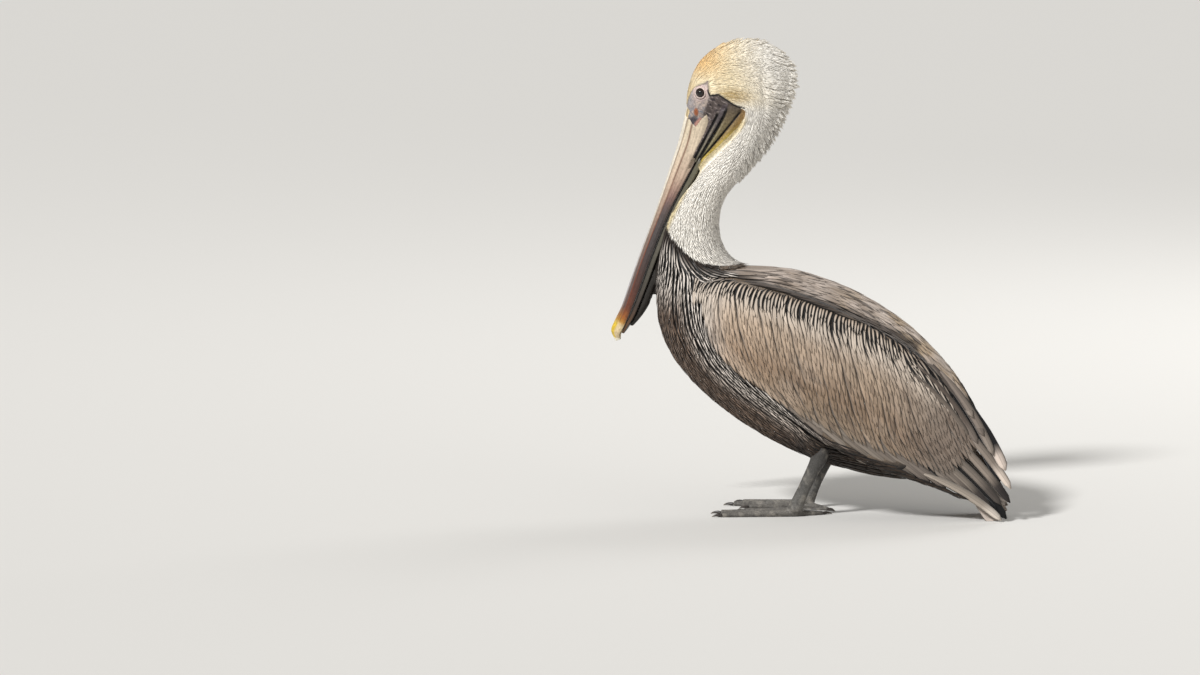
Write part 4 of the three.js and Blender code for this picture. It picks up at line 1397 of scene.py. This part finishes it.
def make_tail(material):
    """A fan of feathers over a ridge, paler on its outside."""
    t = np.linspace(0, 1, 12)
    to_end = blend(0.75, 1.0, t)[:, None] * 0.5
    lines, facing, vane, rim = [], [], [], []
    for row in range(-TAIL_FEATHERS, TAIL_FEATHERS + 1):
        q = row / TAIL_FEATHERS
        x, z, wide, droop = catmull(TAIL_LINE, t * (1 - 0.16 * q * q)).T
        level = z - droop * q * q - 1.0 - 0.5 * abs(row)
        lines.append(np.column_stack([x, q * (wide - 5), np.maximum(level, 1.2)]))
        slope = 2 * droop * q / np.maximum(wide, 1)
        out = unit(np.column_stack([np.zeros_like(x), np.ones_like(x), -slope]))
        facing.append(unit(np.cross(unit(np.gradient(lines[-1], axis=0)), out)))
        tone, edge = ("#b9aca2", "#ddd2c9") if abs(q) > 0.8 else ("#5c554f", "#857c74")
        vane.append(linear(tone) * (1 - to_end) + linear("#cdbfb3") * to_end)
        rim.append(np.tile(linear(edge), (len(t), 1)))
    lines, facing, vane, rim = (np.array(part) for part in (lines, facing, vane, rim))
    half = np.full(len(lines), TAIL_HALF)
    mesh = vanes("tail_feathers", lines, facing, half, QUILL, QUILL_ROWS, vane, rim, 0.02, 0.1)
    piece("tail_feathers", mesh, material, ["tail"])


# ---- Bill ---------------------------------------------------------------------------------------

# Culmen x and z, mouth line x and z, and half width of the upper half of the bill, from base to nail.
UPPER_BILL = [
    (-147, 524, -111, 511, 19), (-158, 478, -122, 474, 18), (-168, 447, -137, 444, 16.5),
    (-188, 387, -168, 385, 15), (-209, 330, -192, 327, 14), (-222, 293, -206, 289, 13),
    (-233, 261, -219, 256, 11.5), (-243, 240, -229, 234, 9.5), (-247, 228, -235, 224, 7),
    (-241, 215, -235, 217, 2.5),
]
ROOF_RISE, ROOF_BEND = 0.75, 1.6  # how far down the flanks slope, and how they curve
RIDGE_GROOVE = 0.15  # the first groove, beside the culmen
# Colours by height of the ridge, of the flank and of the edge along the mouth. The ridge is pale horn,
# lightened further by painted highlight.
CULMEN_TONES = [
    (243, "#b98a3a"), (252, "#8a6042"), (265, "#857e80"), (300, "#a9a5a7"), (350, "#bdb8b2"),
    (400, "#d3cbbd"), (505, "#d6cdbc"),
]
FLANK_TONES = [
    (241, "#b08a35"), (250, "#8f5a26"), (262, "#5b4640"), (290, "#5a4d4b"), (330, "#6a5a53"),
    (370, "#8a7466"), (400, "#ab9482"), (430, "#c0aa95"), (470, "#cbbba4"), (505, "#c6b89f"),
]
EDGE_TONES = [
    (241, "#b0812f"), (250, "#8e5220"), (262, "#5e3220"), (290, "#4a2d26"), (311, "#453430"),
    (335, "#423a39"), (375, "#4a4342"), (392, "#5d4d4a"), (404, "#7b6058"), (416, "#957a6c"),
    (432, "#ad9683"), (470, "#bfae98"), (505, "#bbac95"),
]
# The lower half of the bill in the same way, and its colours by height.
LOWER_BILL = [
    (-107, 520, -93, 515, 24), (-121.5, 473, -111, 468, 20), (-136.5, 443, -128.5, 439.5, 17),
    (-167.5, 384, -159.5, 381, 14.5), (-191.5, 326, -184, 323, 13.5), (-205.5, 288, -198.5, 285, 12),
    (-218.5, 255, -212.5, 252, 10), (-229, 234, -225, 232, 7), (-233, 226, -230, 225, 4),
]
LOWER_TONES = [
    (228, "#5e3f22"), (262, "#3a302a"), (300, "#4a463d"), (370, "#5d594d"), (440, "#5f5b49"),
    (515, "#4d4741"),
]


def loft(name, rings):
    """A closed body through rings of places, with both ends capped."""
    mesh = bpy.data.meshes.new(name)
    with shaping(mesh) as bm:
        loops = []
        for number, ring in enumerate(rings):
            end = number in (0, len(rings) - 1)
            verts = bmesh.ops.create_circle(bm, cap_ends=end, segments=len(ring), radius=1)["verts"]
            for vert, place in zip(verts, metres(ring)):
                vert.co = place
            loops.append(list({edge for vert in verts for edge in vert.link_edges}))
        for first, second in zip(loops, loops[1:]):
            bmesh.ops.bridge_loops(bm, edges=first + second)
        bmesh.ops.recalc_face_normals(bm, faces=bm.faces)
    mesh.shade_smooth()
    return mesh


def sheath(name, rings, share, colours, material):
    """The horn of one half of the bill, with how far across and along it each point lies."""
    mesh = loft(f"{name}_horn", rings)
    give(mesh, "tint", colours)
    give(mesh, "across", np.sign(np.concatenate(rings)[:, 1]) * share)
    give(mesh, "along", np.repeat(np.linspace(0, 1, len(rings)), len(rings[0])))
    piece(f"{name}_horn", mesh, material, [name])


def second_groove(z):
    """How far down the flank the groove beside the ridge lies, from the culmen to the mouth."""
    return np.interp(z, [225, 300, 400, 470, 500], [0.5, 0.42, 0.46, 0.4, 0.36])


def upper_ring(station, q, palate):
    """One ring of the upper half, over the roof from mouth to mouth and back along the palate."""
    tx, tz, bx, bz, half = station
    down = np.abs(q) ** 1.5
    roof = np.minimum(down / ROOF_RISE, 1) ** (1 / ROOF_BEND)
    across = half * roof * (1 - 0.1 * blend(0.75, 1, down))
    fade = 1 - blend(244, 236, tz)
    for place, wide, cut in ((RIDGE_GROOVE, 0.02, 0.8), (second_groove(tz), 0.028, 1.2)):
        across = across - cut * bell(down, place, wide) * fade
    place = np.column_stack([tx + (bx - tx) * down, tz + (bz - tz) * down])
    hidden = ~within(place, HORN_AREA) & (tz > HORN_LOW)
    across = across - 3.2 * blend(0, 1.5, gap(place, HORN_EDGE)) * hidden
    across = np.maximum(across, 0.3 * half * roof)
    side = np.column_stack([place[:, 0], np.sign(q) * across, place[:, 1]])
    arch = 1 - palate**2
    inner = [bx + (tx - bx) * 0.14 * arch, palate * half * 0.88, bz + (tz - bz) * 0.14 * arch]
    return np.vstack([side, np.column_stack(inner)])


def upper_colours(z, share):
    """Pale ridge with painted highlight, darker flank, a mouth edge from cream through slate to red,
    and a yellow nail.
    """
    second = second_groove(z)
    culmen, middle, lower = (along_scale(z, tones) for tones in (CULMEN_TONES, FLANK_TONES, EDGE_TONES))
    colour = np.where((share < second)[:, None], middle, lower)
    colour = np.where((share < RIDGE_GROOVE)[:, None], culmen, colour)
    colour = shade(colour, "#7a6450", bell(share, RIDGE_GROOVE, 0.022) * blend(236, 246, z))
    red = blend(395, 350, z) * blend(246, 262, z)
    groove = bell(share, second, 0.035)
    colour = shade(colour, "#6b4a38", groove * (1 - red) * blend(240, 250, z))
    colour = shade(colour, "#7a3a1e", groove * red)
    # Painted shade along the mouth's edge, in the gap where the two halves meet.
    colour = shade(colour, "#3a302c", blend(0.9, 1.0, share) * blend(236, 250, z) * 0.8)
    nail = blend(245, 239, z)
    colour = shade(colour, "#c9b48c", nail)
    colour = shade(colour, "#c8a934", nail * blend(0.5, 0.3, share))
    return shade(colour, "#e4dcc4", blend(221, 217, z))


def make_upper_bill(material):
    """The long hooked upper half, ridged along the culmen, with a groove on each flank."""
    q = np.linspace(-1, 1, 61)
    palate = np.linspace(1, -1, 15)[1:-1]
    stations = catmull(UPPER_BILL, np.linspace(0, 1, 110))
    rings = [upper_ring(station, q, palate) for station in stations]
    share = np.tile(np.append(np.abs(q) ** 1.5, np.ones(len(palate))), len(rings))
    z = np.repeat(stations[:, 1], len(rings[0]))
    sheath("bill_upper", rings, share, upper_colours(z, share), material)


def make_lower_bill(material):
    """The lower half: a flat-sided bar under the mouth, over the pouch."""
    turn = np.linspace(0, 2 * math.pi, 40, endpoint=False)
    across, down = (np.sign(wave) * np.abs(wave) ** 0.45 for wave in (np.sin(turn), np.cos(turn)))
    down = 0.5 - 0.5 * down
    rings = []
    for tx, tz, bx, bz, half in catmull(LOWER_BILL, np.linspace(0, 1, 90)):
        half = half - 0.5 * bell(down, 0.5, 0.15) - 3.5 * blend(450, 458, tz)
        rings.append(np.column_stack([tx + (bx - tx) * down, across * half, tz + (bz - tz) * down]))
    share = np.tile(down, len(rings))
    z = np.concatenate(rings)[:, 2]
    # Painted shade along the top, in the gap under the upper half, and painted shadow along the
    # underside towards the tip.
    colour = shade(along_scale(z, LOWER_TONES), "#15110f", blend(0.32, 0.12, share))
    colour = shade(colour, "#1b1714", blend(0.75, 0.95, share) * blend(350, 320, z))
    sheath("bill_lower", rings, share, colour, material)


# ---- Eyes and claws -----------------------------------------------------------------------------

# From the middle of the pupil outward.
EYE_TONES = [
    (0, "#030202"), (2.6, "#040303"), (2.9, "#1d1412"), (4.2, "#2c201c"), (5.0, "#140f0e"),
    (5.8, "#0d0a0a"),
]
CORNEA, CORNEA_RISE = 5.2, 0.55  # its half width and how far its middle stands out


def make_eyes(material):
    """Dark eyes with a low clear dome in front."""
    for name, side in (("left", -1), ("right", 1)):
        mesh = bpy.data.meshes.new(f"eyeball_{name}")
        with shaping(mesh) as bm:
            bmesh.ops.create_uvsphere(bm, u_segments=72, v_segments=48, radius=EYE_RADIUS * MM)
        ball = read(mesh.vertices, "co")[:, [0, 2, 1]] * [1, side, 1] / MM
        outward = np.linalg.norm(ball[:, [0, 2]], axis=1)
        front = ball[:, 1] * side > 0
        ball[:, 1] += side * CORNEA_RISE * blend(CORNEA, 0, outward) * front
        put(mesh, ball + [EYE[0], side * EYE_Y, EYE[1]])
        if side > 0:
            mesh.flip_normals()
        iris = along_scale(outward, EYE_TONES)
        give(mesh, "tint", np.where(front[:, None], iris, linear("#15100f")))
        mesh.shade_smooth()
        piece(f"eyeball_{name}", mesh, material, [f"eye_{name}"])


ANKLE = (1.0, 42.0, 5.0)  # of the right foot: a claw's tip is its furthest point from here
NAIL_TONES = [(0, "#2c2724"), (0.7, "#37312c"), (1, "#6d6255")]
NAIL_SIDES, NAIL_STATIONS = 14, 16


def nail_rings(root, tip):
    """Rings of a claw that arches from its root in the toe down to its tip on the floor."""
    t = np.linspace(0, 1, NAIL_STATIONS)
    line = root + (tip - root) * t[:, None] + [0, 0, 1] * (1.6 * np.sin(math.pi * t) ** 0.8)[:, None]
    line[:, 2] = np.maximum(line[:, 2] - 0.6 * t, 0.5)
    ahead = unit(np.gradient(line, axis=0))
    out = unit(np.cross(ahead, [0, 0, 1]))
    up = np.cross(out, ahead)
    turn = np.linspace(0, 2 * math.pi, NAIL_SIDES, endpoint=False)[:, None]
    rings = []
    for place, o, u, thick in zip(line, out, up, 2.3 * (1 - t) ** 0.7 + 0.25):
        ring = place + (o * np.cos(turn) * 0.8 + u * np.sin(turn)) * thick
        ring[:, 2] = np.maximum(ring[:, 2], 0.1)
        rings.append(ring)
    return rings


def make_claws(material):
    """A curved nail in place of each toe's claw."""
    tint = along_scale(np.repeat(np.linspace(0, 1, NAIL_STATIONS), NAIL_SIDES), NAIL_TONES)
    for name, side in (("left", -1), ("right", 1)):
        for toe in TOES:
            body = coordinates(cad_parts[f"claw_{toe}_{name}"].data)
            order = np.argsort(np.linalg.norm(body - np.multiply(ANKLE, [1, side, 1]), axis=1))
            root, tip = body[order[: len(order) // 3]].mean(0), body[order[-3:]].mean(0)
            mesh = loft(f"nail_{toe}_{name}", nail_rings(root - unit(tip - root) * 2.0, tip))
            give(mesh, "tint", tint)
            piece(f"nail_{toe}_{name}", mesh, material, [f"claw_{toe}_{name}"])


# ---- The bird -----------------------------------------------------------------------------------

def head_zones(places):
    """Which places carry the short feathers of the crown, the crest, and the feathers of the neck."""
    neck, face = is_neck(places), bare_face(places)
    x, z = places[:, 0], places[:, 2]
    by_face = gap(side_view(places), FACE_EDGE) < 1.8
    by_pouch = (gap(side_view(places), POUCH_EDGE) < 2.2) & (z < 505) & (z > 372)
    clad = neck & (~face | by_face | by_pouch)
    crown = clad & (z > 480) & ((z > 505 - 0.35 * (x + 60)) | (x < -122))
    return crown, neck & ~face & (crest_height(places) > 0.6), clad & ~crown


set_camera()
set_floor()
set_light()
body = fused([name for name in PLUMAGE if name != "pouch"], 3.0, 0.2)
smoothed(body, 6)
guide = Surface(body)
crown, plumed, throat = head_zones(guide.centres)

make_skin(skin_material())
soft = feather_material("soft_head_feather")
streaked = feather_material("streaked_body_feather")
covert = feather_material("wing_covert", shaft=0.1, barb=0.05)
quill = feather_material("flight_feather", shaft=0.3, barb=0.08)
horn = horn_material()

comb(
    "crown_feathers", crown, LIE_HEAD, head_tones, soft, "cream_plumage",
    spacing=1.35, pitch=2.6, length=11, width=1.9, outline=SLENDER, rows=2, stations=4,
    step=1.0, proud=0.15, stray=0.04, bow=0.05,
)
crest(
    "nape_crest", plumed, LIE_CREST, head_tones, soft,
    spacing=1.7, length=21, width=1.5, stations=6,
)
comb(
    "neck_feathers", throat, LIE_HEAD, head_tones, soft, "white_plumage",
    spacing=1.9, pitch=3.0, length=11, width=2.6, outline=SLENDER, rows=2, stations=4,
    step=1.5, proud=0.25, stray=0.06, bow=0.05,
)
comb(
    "breast_feathers", is_front(guide.centres), LIE_FRONT, front_tones, streaked, "grey_plumage",
    spacing=4.2, pitch=9, length=32, width=5.8, outline=POINTED, rows=2, stations=6,
    step=2.5, proud=0.4, stray=0.015, bow=0.2,
)
comb(
    "back_feathers", is_back(guide.centres), LIE_BACK, back_tones, covert, "grey_plumage",
    spacing=5.5, pitch=16, length=50, width=9, outline=POINTED, rows=4, stations=8,
    step=3.0, proud=0.5, stray=0.02, bow=0.14,
)
comb(
    "wing_feathers", is_wing_cover(guide.centres), LIE_WING, wing_tones, covert, "grey_plumage",
    spacing=4.5, pitch=14, length=46, width=7.2, outline=POINTED, rows=3, stations=9,
    step=2.0, proud=0.2, stray=0.025, ends=True, bow=0.1,
)
make_wing_quills(quill)
make_tail(quill)
make_upper_bill(horn)
make_lower_bill(horn)
make_eyes(eye_material())
make_claws(claw_material())

[[list(corner) for corner in box] for box in (CAD_BOX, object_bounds())]
